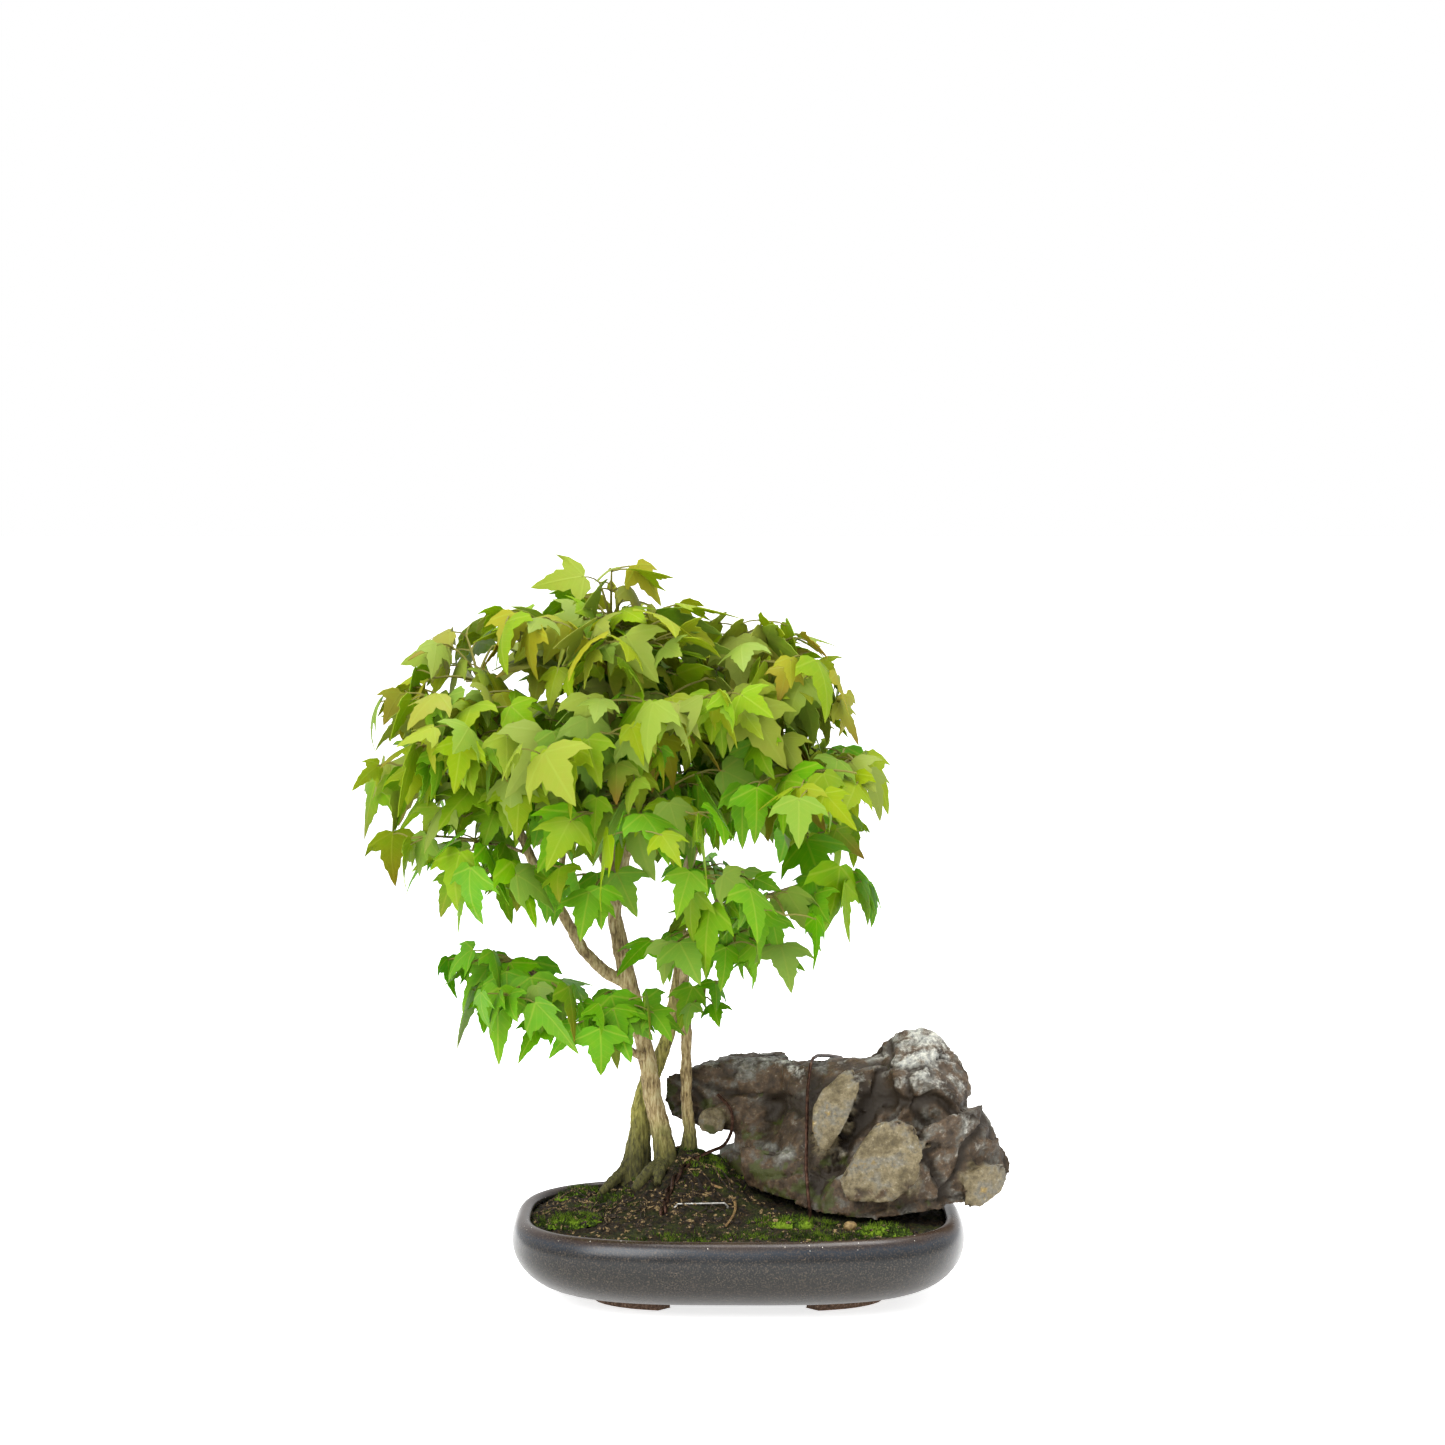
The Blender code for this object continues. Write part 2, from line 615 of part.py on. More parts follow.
def make_plant(name, limbs, shoots, material, pockets):
    """One grown piece: trunk, roots, limbs and the twigs that carry the shoots."""
    twigs = new_group(f"{name}_limbs")
    plant = None
    for limb, (course, radii) in limbs.items():
        sides = 9 if limb == "trunk" else 6
        bm = tube(course, radii, sides)
        remember_solid(bm)
        if plant is None:
            plant = part_from(bm, name, material, smooth_angle=60)
        else:
            make_cutter(part_from(bm, f"{name}_{limb}", material), twigs)
        if limb == "trunk":
            foot = Vector(course[0]) - Vector((0, 0, 2))
            bm = tube([foot, *course[1:4]], radii[:4], sides, grow=0.6)
            make_cutter(part_from(bm, f"{name}_pocket", material), pockets)
        elif "root" in limb:
            beyond = Vector(course[-1]) * 1.5 - Vector(course[-2]) * 0.5
            bm = tube([*course[:-1], beyond], radii, sides, grow=0.6)
            make_cutter(part_from(bm, f"{name}_{limb}_pocket", material), pockets)
    for shoot, (start, end, _) in shoots.items():
        if start is None:
            continue
        middle = (Vector(start) + Vector(end)) / 2 + Vector((0, 0, 2))
        bm = tube([start, middle, end], [1.5, 1.3, 1.1], 4)
        remember_solid(bm)
        make_cutter(part_from(bm, f"{name}_{shoot}_twig", material), twigs)
    combine(plant, twigs, "UNION")
    return plant


# ---------------------------------------------------------------- leaves
# Half of a three-lobed blade: how far out and how far along, as shares of its size.
HALF_BLADE = [(0.5, 0.40), (0.16, 0.46)]
BLADE_FACES = [(0, 1, 2), (0, 2, 4), (2, 3, 4), (0, 4, 6), (4, 5, 6)]


def blade_outline(width, length):
    """The seven corners of a blade, from one side of the leaf stalk to the other."""
    half = PETIOLE_WIDTH / 2
    (lobe_x, lobe_y), (notch_x, notch_y) = HALF_BLADE
    flat = [(-half, 0.0), (-lobe_x * width, lobe_y * length)]
    flat += [(-notch_x * width, notch_y * length), (0.0, length)]
    flat += [(notch_x * width, notch_y * length), (lobe_x * width, lobe_y * length)]
    flat += [(half, 0.0)]
    outline = []
    for x, y in flat:
        sag = 0.22 * length * (y / length) ** 2 + 0.35 * abs(x) ** 2 / width
        outline.append(Vector((x, y, -sag)))
    return outline


def blade_corners(place, thickness):
    """Top and bottom corners of a blade at place, its frame and size."""
    frame, width, length = place
    top = []
    bottom = []
    for corner in blade_outline(width, length):
        top.append(frame @ (corner + Vector((0, 0, thickness / 2))))
        bottom.append(frame @ (corner - Vector((0, 0, thickness / 2))))
    return top, bottom


def leaf_surface(stalk_start, place, thickness, stalk_width):
    """Corners and faces of a plain closed blade and of its stalk, past the stalk's start."""
    top, bottom = blade_corners(place, thickness)
    corners = top + bottom
    faces = BLADE_FACES + [tuple(i + 7 for i in face) for face in BLADE_FACES]
    for i in range(7):
        j = (i + 1) % 7
        faces += [(i, j, j + 7), (i, j + 7, i + 7)]
    stalk_end = place[0].translation
    first = stalk_start.lerp(stalk_end, 0.2)
    side = (stalk_end - first).orthogonal().normalized() * stalk_width / 2
    lift = (stalk_end - first).cross(side).normalized() * stalk_width / 2
    for reach in (side, lift):
        base = len(corners)
        corners += [first + reach, first - reach, stalk_end + reach, stalk_end - reach]
        faces += [(base, base + 1, base + 3), (base, base + 3, base + 2)]
    return corners, faces


def is_clear(stalk_start, place):
    """True if a thickened leaf touches nothing that is already there."""
    thickness = LEAF_THICKNESS + LEAF_CLEARANCE
    corners, faces = leaf_surface(stalk_start, place, thickness, 2.4)
    tree = BVHTree.FromPolygons(corners, faces)
    middle = sum(corners, Vector()) / len(corners)
    reach = max((corner - middle).length for corner in corners)
    for other, other_middle, other_reach in solid_things:
        if (middle - other_middle).length < reach + other_reach and tree.overlap(other):
            return False
    return True


def leaf_place(anchor, outward, chance):
    """A frame and a size for a leaf whose stalk leaves anchor outward."""
    stalk = chance.uniform(9, 20)
    swing = math.radians(chance.uniform(-35, 35))
    turned = Matrix.Rotation(swing, 3, "Z") @ outward
    rise = chance.uniform(-0.45, 0.1)
    end = anchor + (turned + Vector((0, 0, rise))).normalized() * stalk
    droop = math.radians(chance.uniform(22, 68))
    level = Vector((turned.x, turned.y, 0.0)).normalized()
    along = level * math.cos(droop) + Vector((0, 0, -math.sin(droop)))
    across = level.cross(Vector((0, 0, 1)))
    roll = Matrix.Rotation(math.radians(chance.uniform(-18, 18)), 3, along)
    across = roll @ across
    normal = across.cross(along)
    frame = Matrix((across, along, normal)).transposed().to_4x4()
    frame.translation = end
    length = chance.uniform(36, 54)
    return frame, length * chance.uniform(0.72, 0.92), length


def loop_normal(corners):
    """The direction that a ring of corners turns about, by the right-hand rule."""
    total = Vector()
    for here, there in zip(corners, corners[1:] + corners[:1]):
        total += here.cross(there)
    return total


def join_stalk(bm, root, outward, end):
    """Four faces from the stem's four corners to the blade's, turned as little as can be."""
    if loop_normal([vert.co for vert in root]).dot(outward) < 0:
        end = end[::-1]
    best = None
    for shift in range(4):
        turned = end[shift:] + end[:shift]
        length = sum((a.co - b.co).length for a, b in zip(root, turned))
        if best is None or length < best[0]:
            best = (length, turned)
    bridge(bm, root, best[1])


def add_blade(bm, root, outward, place):
    """Grows a stalk and a blade out of the four corners root, which face outward."""
    top, bottom = blade_corners(place, LEAF_THICKNESS)
    upper = [bm.verts.new(corner) for corner in top]
    lower = [bm.verts.new(corner) for corner in bottom]
    for a, b, c in BLADE_FACES:
        bm.faces.new((upper[a], upper[b], upper[c]))
        bm.faces.new((lower[a], lower[c], lower[b]))
    for i in range(6):
        bm.faces.new((upper[i], lower[i], lower[i + 1], upper[i + 1]))
    join_stalk(bm, root, outward, [upper[0], upper[6], lower[6], lower[0]])


def clear_place(anchor, outward, chance):
    """A place for a leaf that is clear of all others, or None."""
    found = None
    for _ in range(LEAF_TRIES):
        place = leaf_place(anchor, outward, chance)
        if found is None and is_clear(anchor, place):
            found = place
    if found is not None:
        remember(*leaf_surface(anchor, found, LEAF_THICKNESS, PETIOLE_WIDTH))
    return found


def stem_rings(end, tip):
    """The square rings of a shoot's stem, with a short stretch for each pair of leaves."""
    first = end + (tip - end).normalized() * (1.6 + GAP)
    span = tip - first
    shares = [0.0]
    for pair in range(LEAF_PAIRS):
        middle = 0.16 + 0.72 * pair / (LEAF_PAIRS - 1)
        half = PETIOLE_WIDTH * 0.8 / span.length
        shares += [middle - half, middle + half]
    shares.append(1.0)
    side = span.cross(Vector((0, 0, 1))).normalized()
    if span.normalized().z > 0.85:
        side = Vector((1, 0, 0))
    lift = side.cross(span).normalized()
    rings = []
    for share in shares:
        point = first + span * share
        point.z += 10.0 * share * (1 - share) - 3.0 * share**3
        half = STEM_WIDTH / 2 * (1 - 0.25 * share)
        corners = [(1, 1), (-1, 1), (-1, -1), (1, -1)]
        ring = [point + side * half * a + lift * half * b for a, b in corners]
        rings.append((point, ring))
    return rings


def grow_shoot(name, rings, chance):
    """A green stem with leaves in pairs and one at its end, as one closed piece."""
    span = (rings[-1][0] - rings[0][0]).normalized()
    upright = span.z > 0.6
    bm = bmesh.new()
    loops = [[bm.verts.new(corner) for corner in ring] for _, ring in rings]
    bm.faces.new(loops[0])
    for k, (lower, upper) in enumerate(zip(loops, loops[1:])):
        crossed = upright and k // 2 % 2 == 1
        leafy = ((0, 2) if crossed else (1, 3)) if k % 2 == 1 else ()
        stem_middle = (rings[k][0] + rings[k + 1][0]) / 2
        for i in range(4):
            j = (i + 1) % 4
            corners = [lower[i], lower[j], upper[j], upper[i]]
            middle = sum((corner.co for corner in corners), Vector()) / 4
            outward = (middle - stem_middle).normalized()
            place = None
            if i in leafy:
                place = clear_place(middle, outward * 0.8 + span * 0.6, chance)
            if place is None:
                bm.faces.new(corners)
            else:
                add_blade(bm, corners, outward, place)
    place = clear_place(rings[-1][0], span, chance)
    if place is None:
        bm.faces.new(loops[-1])
    else:
        add_blade(bm, loops[-1], span, place)
    bmesh.ops.triangulate(bm, faces=[face for face in bm.faces if len(face.verts) > 3])
    part_from(bm, f"shoot_{name}", LEAF)


def make_shoots():
    """All stems first, so that every leaf grows clear of them, and then the leaves."""
    stems = {}
    for shoots in (FRONT_SHOOTS, REAR_SHOOTS, SLIM_SHOOTS):
        for name, (_, end, tip) in shoots.items():
            stems[name] = stem_rings(Vector(end), Vector(tip))
    for rings in stems.values():
        stem = loft([ring for _, ring in rings])
        remember_solid(stem)
        stem.free()
    growth = random.Random(GROWTH_SEED)
    for name, rings in stems.items():
        grow_shoot(name, rings, growth)


# ---------------------------------------------------------------- wires, root and moss
def stone_section(corner, normal):
    """Where the upright-ish plane through corner cuts the rock's lumps."""
    places = []
    for points in ROCK_LUMPS.values():
        bm = hull(points)
        geometry = bm.verts[:] + bm.edges[:] + bm.faces[:]
        cut = bmesh.ops.bisect_plane(bm, geom=geometry, plane_co=corner, plane_no=normal)
        places += [item.co.copy() for item in cut["geom_cut"] if hasattr(item, "co")]
        bm.free()
    return places


def taut_round(places, normal, proud):
    """The course of a taut wire over places in a plane, from front to back, proud of them."""
    flat = [(place.y, place.z, place) for place in places]
    flat.sort(key=lambda item: item[:2])
    chain = []
    for item in flat:
        while len(chain) > 1:
            (y0, z0, _), (y1, z1, _) = chain[-2:]
            if (y1 - y0) * (item[1] - z0) - (z1 - z0) * (item[0] - y0) < 0:
                break
            chain.pop()
        chain.append(item)
    kept = [item[2] for item in chain]
    below = Vector((0, 0, -30))
    kept = [kept[0] + below, *kept, kept[-1] + below]
    course = []
    for before, here, after in zip(kept, kept[1:], kept[2:]):
        arrive = (here - before).cross(normal).normalized()
        leave = (after - here).cross(normal).normalized()
        if arrive.z + leave.z < 0 and arrive.dot(leave) > 0.99:
            arrive, leave = -arrive, -leave
        for share in (0.0, 0.5, 1.0):
            outward = arrive.lerp(leave, share).normalized()
            place = here + outward * proud
            if not course or (place - course[-1]).length > 1.5:
                course.append(place)
    return course


def make_stone_wire(pockets):
    """The wire that ties the stone down, up its front, over its saddle and down its back."""
    proud = TIE_WIRE / 2 + 1.2
    front_foot = Vector((47, -36, 56))
    front_top = Vector((38, -24, 136))
    rear_top = Vector((66, 75, 152))
    normal = (front_top - front_foot).cross(rear_top - front_foot).normalized()
    if normal.x < 0:
        normal = -normal
    places = stone_section(front_foot, normal)
    course = taut_round(places, -normal, proud)
    first = Vector((course[0].x, course[0].y, SOIL_EDGE - 2))
    last = Vector((course[-1].x, course[-1].y, SOIL_EDGE - 2))
    course = [first, *course, last]
    bm = tube(course, [TIE_WIRE / 2] * len(course), 8)
    part_from(bm, "stone_wire", COPPER_BROWN, smooth_angle=60)
    for low, high in ((course[0], course[1]), (course[-1], course[-2])):
        deep = low - Vector((0, 0, 1.5))
        bm = tube([deep, low, high], [TIE_WIRE / 2] * 3, 8, grow=0.8)
        make_cutter(part_from(bm, "stone_wire_pocket", COPPER_BROWN), pockets)


def make_tie_wire(pockets):
    """A wire from under the stone's ledge to a twist that runs down into the soil."""
    ledge = [(-14, 38.5, 126), (-6, 35, 118), (-4, 33, 110), (-5, 31, 101), (-10, 28, 93)]
    ledge += [(-19, 22, 90)]
    twist = [(-28, 16), (-34, 9), (-40, 0), (-45, -12), (-48, -24), (-49, -34)]
    spine = []
    for k, (x, y) in enumerate(twist):
        spine.append((x, y, soil_height(x, y) + 4.6 - 0.35 * k))
    spine.append((-50, -38, soil_height(-50, -38) - 6))
    path = curve_through(spine, 3)
    offset = TIE_WIRE / 2 + GAP
    turns = 2 * math.pi * 3.0 / len(path)
    strands = ([], [])
    for k, place in enumerate(path):
        ahead = path[min(k + 1, len(path) - 1)] - path[max(k - 1, 0)]
        side = ahead.cross(Vector((0, 0, 1))).normalized()
        lift = side.cross(ahead).normalized()
        reach = side * math.cos(turns * k) + lift * math.sin(turns * k)
        strands[0].append(place + reach * offset)
        strands[1].append(place - reach * offset)
    loop = curve_through([*ledge, strands[0][0]], 3) + strands[0][1:]
    tail = strands[1]
    for name, course in (("tie_wire", loop), ("tie_wire_tail", tail)):
        bm = tube(course, [TIE_WIRE / 2] * len(course), 6)
        part_from(bm, name, COPPER_BROWN, smooth_angle=60)
        last = course[-5:] + [course[-1] - Vector((0, 0, 1.5))]
        bm = tube(last, [TIE_WIRE / 2] * len(last), 8, grow=0.8)
        make_cutter(part_from(bm, f"{name}_pocket", COPPER_BROWN), pockets)


def make_staple(pockets):
    """A bare wire staple that pins the root mound down."""
    left = (-42, -30)
    right = (-7, -30)
    high = soil_height(*left) + 2.2
    course = [(*left, high - 14), (left[0], left[1], high - 2), (left[0] + 2, left[1], high)]
    course += [(right[0] - 2, right[1], high + 0.6), (right[0], right[1], high - 1.4)]
    course += [(*right, high - 14)]
    bm = tube(course, [STAPLE_WIRE / 2] * len(course), 8)
    part_from(bm, "staple", BARE_WIRE, smooth_angle=60)
    for x, y in (left, right):
        bm = tube([(x, y, high - 16), (x, y, high)], [STAPLE_WIRE / 2] * 2, 8, grow=0.8)
        make_cutter(part_from(bm, "staple_pocket", BARE_WIRE), pockets)


def make_surface_root():
    """A thin bare root that lies over the mound."""
    plan = [(-21, 0), (-18, -5), (-12, -5), (-5, -9), (-2, -22), (-3, -40), (-8, -62)]
    course = [(x, y, soil_height(x, y) + 2.2) for x, y in plan]
    path = curve_through(course, 2)
    path = [Vector((p.x, p.y, soil_height(p.x, p.y) + 2.2)) for p in path]
    radii = [1.2 - 0.5 * k / len(path) for k in range(len(path))]
    part_from(tube(path, radii, 5), "surface_root", ROOT_SKIN, smooth_angle=60)


# Each cushion of moss: its middle, its half length and half width, and its height.
MOSS_CUSHIONS = {
    "left_front": ((-108, -40), (19, 15), 6.0),
    "left_back": ((-110, 50), (15, 13), 6.0),
    "right_front": ((96, -67), (20, 8), 5.5),
    "stone_foot": ((34, -58), (15, 7), 6.0),
    "mound": ((-13, 15), (8, 7), 5.0),
}


def make_moss():
    for name, (middle, half, height) in MOSS_CUSHIONS.items():
        rings = []
        for level, shares in ((0, (0.3, 0.7, 1.0)), (1, (0.94, 0.7, 0.3))):
            for share in shares:
                ring = []
                for k in range(12):
                    turn = 2.0 * math.pi * k / 12
                    wave = 1.0 + 0.12 * noise(Vector((turn, *half)) * 1.7)
                    x = middle[0] + half[0] * share * wave * math.cos(turn)
                    y = middle[1] + half[1] * share * wave * math.sin(turn)
                    crown = height * (1 - 0.8 * share**2) if level else 0.0
                    ring.append((x, y, soil_height(x, y) + 0.9 + crown))
                rings.append(ring)
        part_from(loft(rings), f"moss_{name}", MOSS, smooth_angle=60)


def make_pebble():
    x, y = 73, -60
    base = soil_height(x, y) + 0.6
    points = []
    for height, reach in ((0.0, 3.6), (2.2, 5.2), (4.6, 4.4), (6.0, 2.4)):
        for k in range(6):
            turn = 2.0 * math.pi * (k + height / 3) / 6
            points.append((x + reach * math.cos(turn), y + 0.8 * reach * math.sin(turn),
                           base + height))
    part_from(hull(points), "pebble", TAN_PEBBLE)


# ---------------------------------------------------------------- putting it together
make_tray()
screen_side = make_screens()
soil_pockets = new_group("soil_pockets")
make_stone(soil_pockets)
make_plant("trunk_front", FRONT_LIMBS, FRONT_SHOOTS, BARK, soil_pockets)
make_plant("trunk_rear", REAR_LIMBS, REAR_SHOOTS, MOSSY_BARK, soil_pockets)
make_plant("trunk_slim", SLIM_LIMBS, SLIM_SHOOTS, BARK, soil_pockets)
make_stone_wire(soil_pockets)
make_tie_wire(soil_pockets)
make_staple(soil_pockets)
make_surface_root()
make_soil(soil_pockets, screen_side)
make_moss()
make_pebble()
make_shoots()
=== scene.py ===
import math
import random

import bmesh
import bpy
import numpy as np
from mathutils import Matrix, Vector, noise
from mathutils.bvhtree import BVHTree


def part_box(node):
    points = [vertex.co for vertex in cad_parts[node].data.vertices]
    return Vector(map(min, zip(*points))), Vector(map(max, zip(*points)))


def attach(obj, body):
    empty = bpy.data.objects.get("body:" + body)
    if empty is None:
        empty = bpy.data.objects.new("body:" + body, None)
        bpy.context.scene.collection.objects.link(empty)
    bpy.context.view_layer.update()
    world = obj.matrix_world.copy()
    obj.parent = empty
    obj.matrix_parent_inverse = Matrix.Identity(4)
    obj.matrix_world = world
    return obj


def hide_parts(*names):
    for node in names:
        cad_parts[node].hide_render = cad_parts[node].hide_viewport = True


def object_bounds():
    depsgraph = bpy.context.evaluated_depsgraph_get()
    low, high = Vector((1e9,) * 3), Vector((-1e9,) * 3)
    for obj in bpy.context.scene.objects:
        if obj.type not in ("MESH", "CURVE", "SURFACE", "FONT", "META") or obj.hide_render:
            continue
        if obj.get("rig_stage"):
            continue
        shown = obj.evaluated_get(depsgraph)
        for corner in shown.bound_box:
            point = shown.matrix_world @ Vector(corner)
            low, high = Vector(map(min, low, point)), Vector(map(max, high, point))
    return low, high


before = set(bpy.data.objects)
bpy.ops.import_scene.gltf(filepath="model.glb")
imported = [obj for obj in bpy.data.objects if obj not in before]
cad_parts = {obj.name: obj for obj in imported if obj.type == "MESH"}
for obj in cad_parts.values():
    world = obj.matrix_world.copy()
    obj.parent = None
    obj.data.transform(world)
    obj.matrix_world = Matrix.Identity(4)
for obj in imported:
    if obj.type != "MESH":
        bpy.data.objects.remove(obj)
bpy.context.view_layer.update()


# ------------------------------------------------------------------ studio
# A white table under a broad soft light from above and in front, in a white room,
# seen by a long lens from a little above the tray's rim.
MM = 0.001
tray_low, tray_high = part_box("pot")
MIDDLE = Vector(((tray_low.x + tray_high.x) / 2, (tray_low.y + tray_high.y) / 2, 0.0))


def spot(x, y, z):
    """A place given in millimetres from the middle of the tray on the table."""
    return MIDDLE + Vector((x, y, z)) * MM


def linear(colour):
    """The linear RGBA of an sRGB hex colour."""
    channels = [int(colour[k : k + 2], 16) / 255 for k in (1, 3, 5)]
    return [c / 12.92 if c < 0.04045 else ((c + 0.055) / 1.055) ** 2.4 for c in channels] + [1.0]


def put(tree, kind, settings=None, links=None):
    """Adds a node with its settings, its ramp's colours and its links."""
    made = tree.nodes.new(kind)
    for name, value in (settings or {}).items():
        if name == "ramp":
            elements = made.color_ramp.elements
            while len(elements) < len(value):
                elements.new(0.5)
            for element, (place, colour) in zip(elements, value):
                element.position = place
                element.color = linear(colour)
        elif isinstance(name, str) and hasattr(made, name):
            setattr(made, name, value)
        else:
            made.inputs[name].default_value = value
    for name, source in (links or {}).items():
        tree.links.new(source, made.inputs[name])
    return made


def new_material(name):
    """A material with its Principled shader and its Object coordinates."""
    material = bpy.data.materials.new(name)
    material.use_nodes = True
    tree = material.node_tree
    shader = tree.nodes["Principled BSDF"]
    place = put(tree, "ShaderNodeTexCoord").outputs["Object"]
    return material, tree, shader, place


camera_place = spot(0.0, -2641.0, 591.4)
camera_turn = (math.radians(90 - 4.562), 0.0, math.radians(0.2287))
bpy.ops.object.camera_add(location=camera_place, rotation=camera_turn)
camera = bpy.context.object
camera.data.lens = 100.0
camera.data.sensor_width = 36.0
bpy.context.scene.camera = camera
bpy.context.scene.view_settings.view_transform = "Standard"

bpy.ops.mesh.primitive_plane_add(size=30.0, location=MIDDLE)
table = bpy.context.object
table.name = "white_table"
paper, tree, shader, _ = new_material("white_paper")
shader.inputs["Base Color"].default_value = linear("#f4f4f4")
shader.inputs["Roughness"].default_value = 0.9
shader.inputs["Specular IOR Level"].default_value = 0.1
shader.inputs["Emission Color"].default_value = linear("#ffffff")
shader.inputs["Emission Strength"].default_value = 0.75
table.data.materials.append(paper)
table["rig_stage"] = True

room = bpy.data.worlds.new("white_room")
room.use_nodes = True
room.node_tree.nodes["Background"].inputs["Color"].default_value = linear("#ffffff")
room.node_tree.nodes["Background"].inputs["Strength"].default_value = 1.0
bpy.context.scene.world = room

for name, place, size, power in (
    ("front_softbox", (-900, -1500, 1300), 1.3, 42.0),
    ("top_softbox", (150, 150, 1900), 1.3, 46.0),
):
    bpy.ops.object.light_add(type="AREA", location=spot(*place))
    lamp = bpy.context.object
    lamp.name = name
    lamp.data.size = size
    lamp.data.energy = power
    lamp.rotation_euler = (spot(-30, 20, 220) - lamp.location).to_track_quat("-Z", "Y").to_euler()


# ------------------------------------------------------------------ tray
# A shallow oval stoneware tray with a bellied wall and a rim rolled inwards. It was
# pressed in a mould, dipped in a dark glaze and fired standing on four bare clay feet.
TRAY_LENGTH = (tray_high.x - tray_low.x) / MM
TRAY_WIDTH = (tray_high.y - tray_low.y) / MM
RIM_TOP = tray_high.z / MM
SQUARENESS = 3.0
BELLY = 41.0
UNDERSIDE = 7.5
FLAT_INSET = 44.0
RIM_ROLL = 8.5
DRAIN_RADIUS = 8.0
DRAIN_OFFSET = 64.0
THUMBED = 0.35


def deselect_all():
    for thing in list(bpy.context.selected_objects):
        thing.select_set(False)


def activate(piece):
    """Makes a piece the only one selected, ready for an operator."""
    deselect_all()
    piece.select_set(True)
    bpy.context.view_layer.objects.active = piece


def settle(piece):
    """Leaves a piece's object at the origin, unturned, with its place in its mesh."""
    activate(piece)
    bpy.ops.object.transform_apply(location=True, rotation=True, scale=True)


def finish(piece, name, slot, *nodes, materials=(), smooth=60):
    """Names a piece, gives it its finishes and lets it stand for its CAD nodes."""
    piece.name = name
    piece.data.name = name
    if materials:
        piece.data.materials.clear()
        for material in materials:
            piece.data.materials.append(material)
    activate(piece)
    bpy.ops.object.shade_smooth_by_angle(angle=math.radians(smooth))
    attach(piece, "root")
    for node in nodes:
        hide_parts(node)


def oval_reach(x, y):
    """How far along its own direction a point has to go to lie on the unit oval."""
    return (abs(x) ** SQUARENESS + abs(y) ** SQUARENESS) ** (-1.0 / SQUARENESS)


def tray_profile():
    """Insets from the belly and heights, up the outside, over the lip and down the inside."""
    profile = []
    for step in range(1, 13):
        turn = math.pi / 2 * step / 12
        rise = (BELLY - UNDERSIDE) * (1 - math.cos(turn))
        profile.append((FLAT_INSET * (1 - math.sin(turn)), UNDERSIDE + rise))
    for turn in range(10, 91, 10):
        angle = math.radians(turn)
        inset = RIM_ROLL * (1 - math.cos(angle))
        profile.append((inset, BELLY + (RIM_TOP - BELLY) * math.sin(angle)))
    profile += [(10.3, RIM_TOP - 0.5), (11.7, RIM_TOP - 1.6), (12.5, RIM_TOP - 3.5)]
    profile += [(11.4, BELLY + 8.0), (9.5, BELLY + 5.0), (8.5, BELLY - 2.0), (12.5, BELLY - 16.0)]
    profile += [(16.5, 22.0), (25.5, 17.0), (33.5, 14.5)]
    return profile


bpy.ops.mesh.primitive_circle_add(
    vertices=192, radius=1.0, fill_type="NGON", location=spot(0, 0, UNDERSIDE)
)
tray = bpy.context.object
across, deep = TRAY_LENGTH / 2 - FLAT_INSET, TRAY_WIDTH / 2 - FLAT_INSET
for vert in tray.data.vertices:
    x, y, _ = vert.co
    reach = oval_reach(x, y) * MM
    vert.co = (x * reach * across, y * reach * deep, 0.0)
bpy.ops.object.mode_set(mode="EDIT")
bpy.ops.mesh.select_all(action="SELECT")
height = UNDERSIDE
for inset, level in tray_profile():
    new_across, new_deep = TRAY_LENGTH / 2 - inset, TRAY_WIDTH / 2 - inset
    bpy.ops.mesh.extrude_region_move(
        TRANSFORM_OT_translate={"value": (0.0, 0.0, (level - height) * MM)}
    )
    bpy.ops.transform.resize(
        value=(new_across / across, new_deep / deep, 1.0), center_override=spot(0, 0, level)
    )
    across, deep, height = new_across, new_deep, level
bpy.ops.mesh.select_all(action="SELECT")
bpy.ops.mesh.normals_make_consistent(inside=False)
bpy.ops.object.mode_set(mode="OBJECT")
settle(tray)

for side in (-1, 1):
    bpy.ops.mesh.primitive_cylinder_add(
        vertices=48,
        radius=DRAIN_RADIUS * MM,
        depth=30.0 * MM,
        location=spot(side * DRAIN_OFFSET, 0, 10.0),
    )
    punch = bpy.context.object
    hole = tray.modifiers.new("drain_hole", "BOOLEAN")
    hole.operation = "DIFFERENCE"
    hole.object = punch
    activate(tray)
    bpy.ops.object.modifier_apply(modifier=hole.name)
    bpy.data.objects.remove(punch)

# The potter's thumbs leave the wall very slightly uneven. The seed makes all the noise
# below come out the same in each run.
noise.seed_set(1)
for vert in tray.data.vertices:
    drift = noise.noise(vert.co / (60.0 * MM))
    outward = Vector((vert.co.x - MIDDLE.x, vert.co.y - MIDDLE.y, 0.0)).normalized()
    vert.co += outward * drift * THUMBED * MM

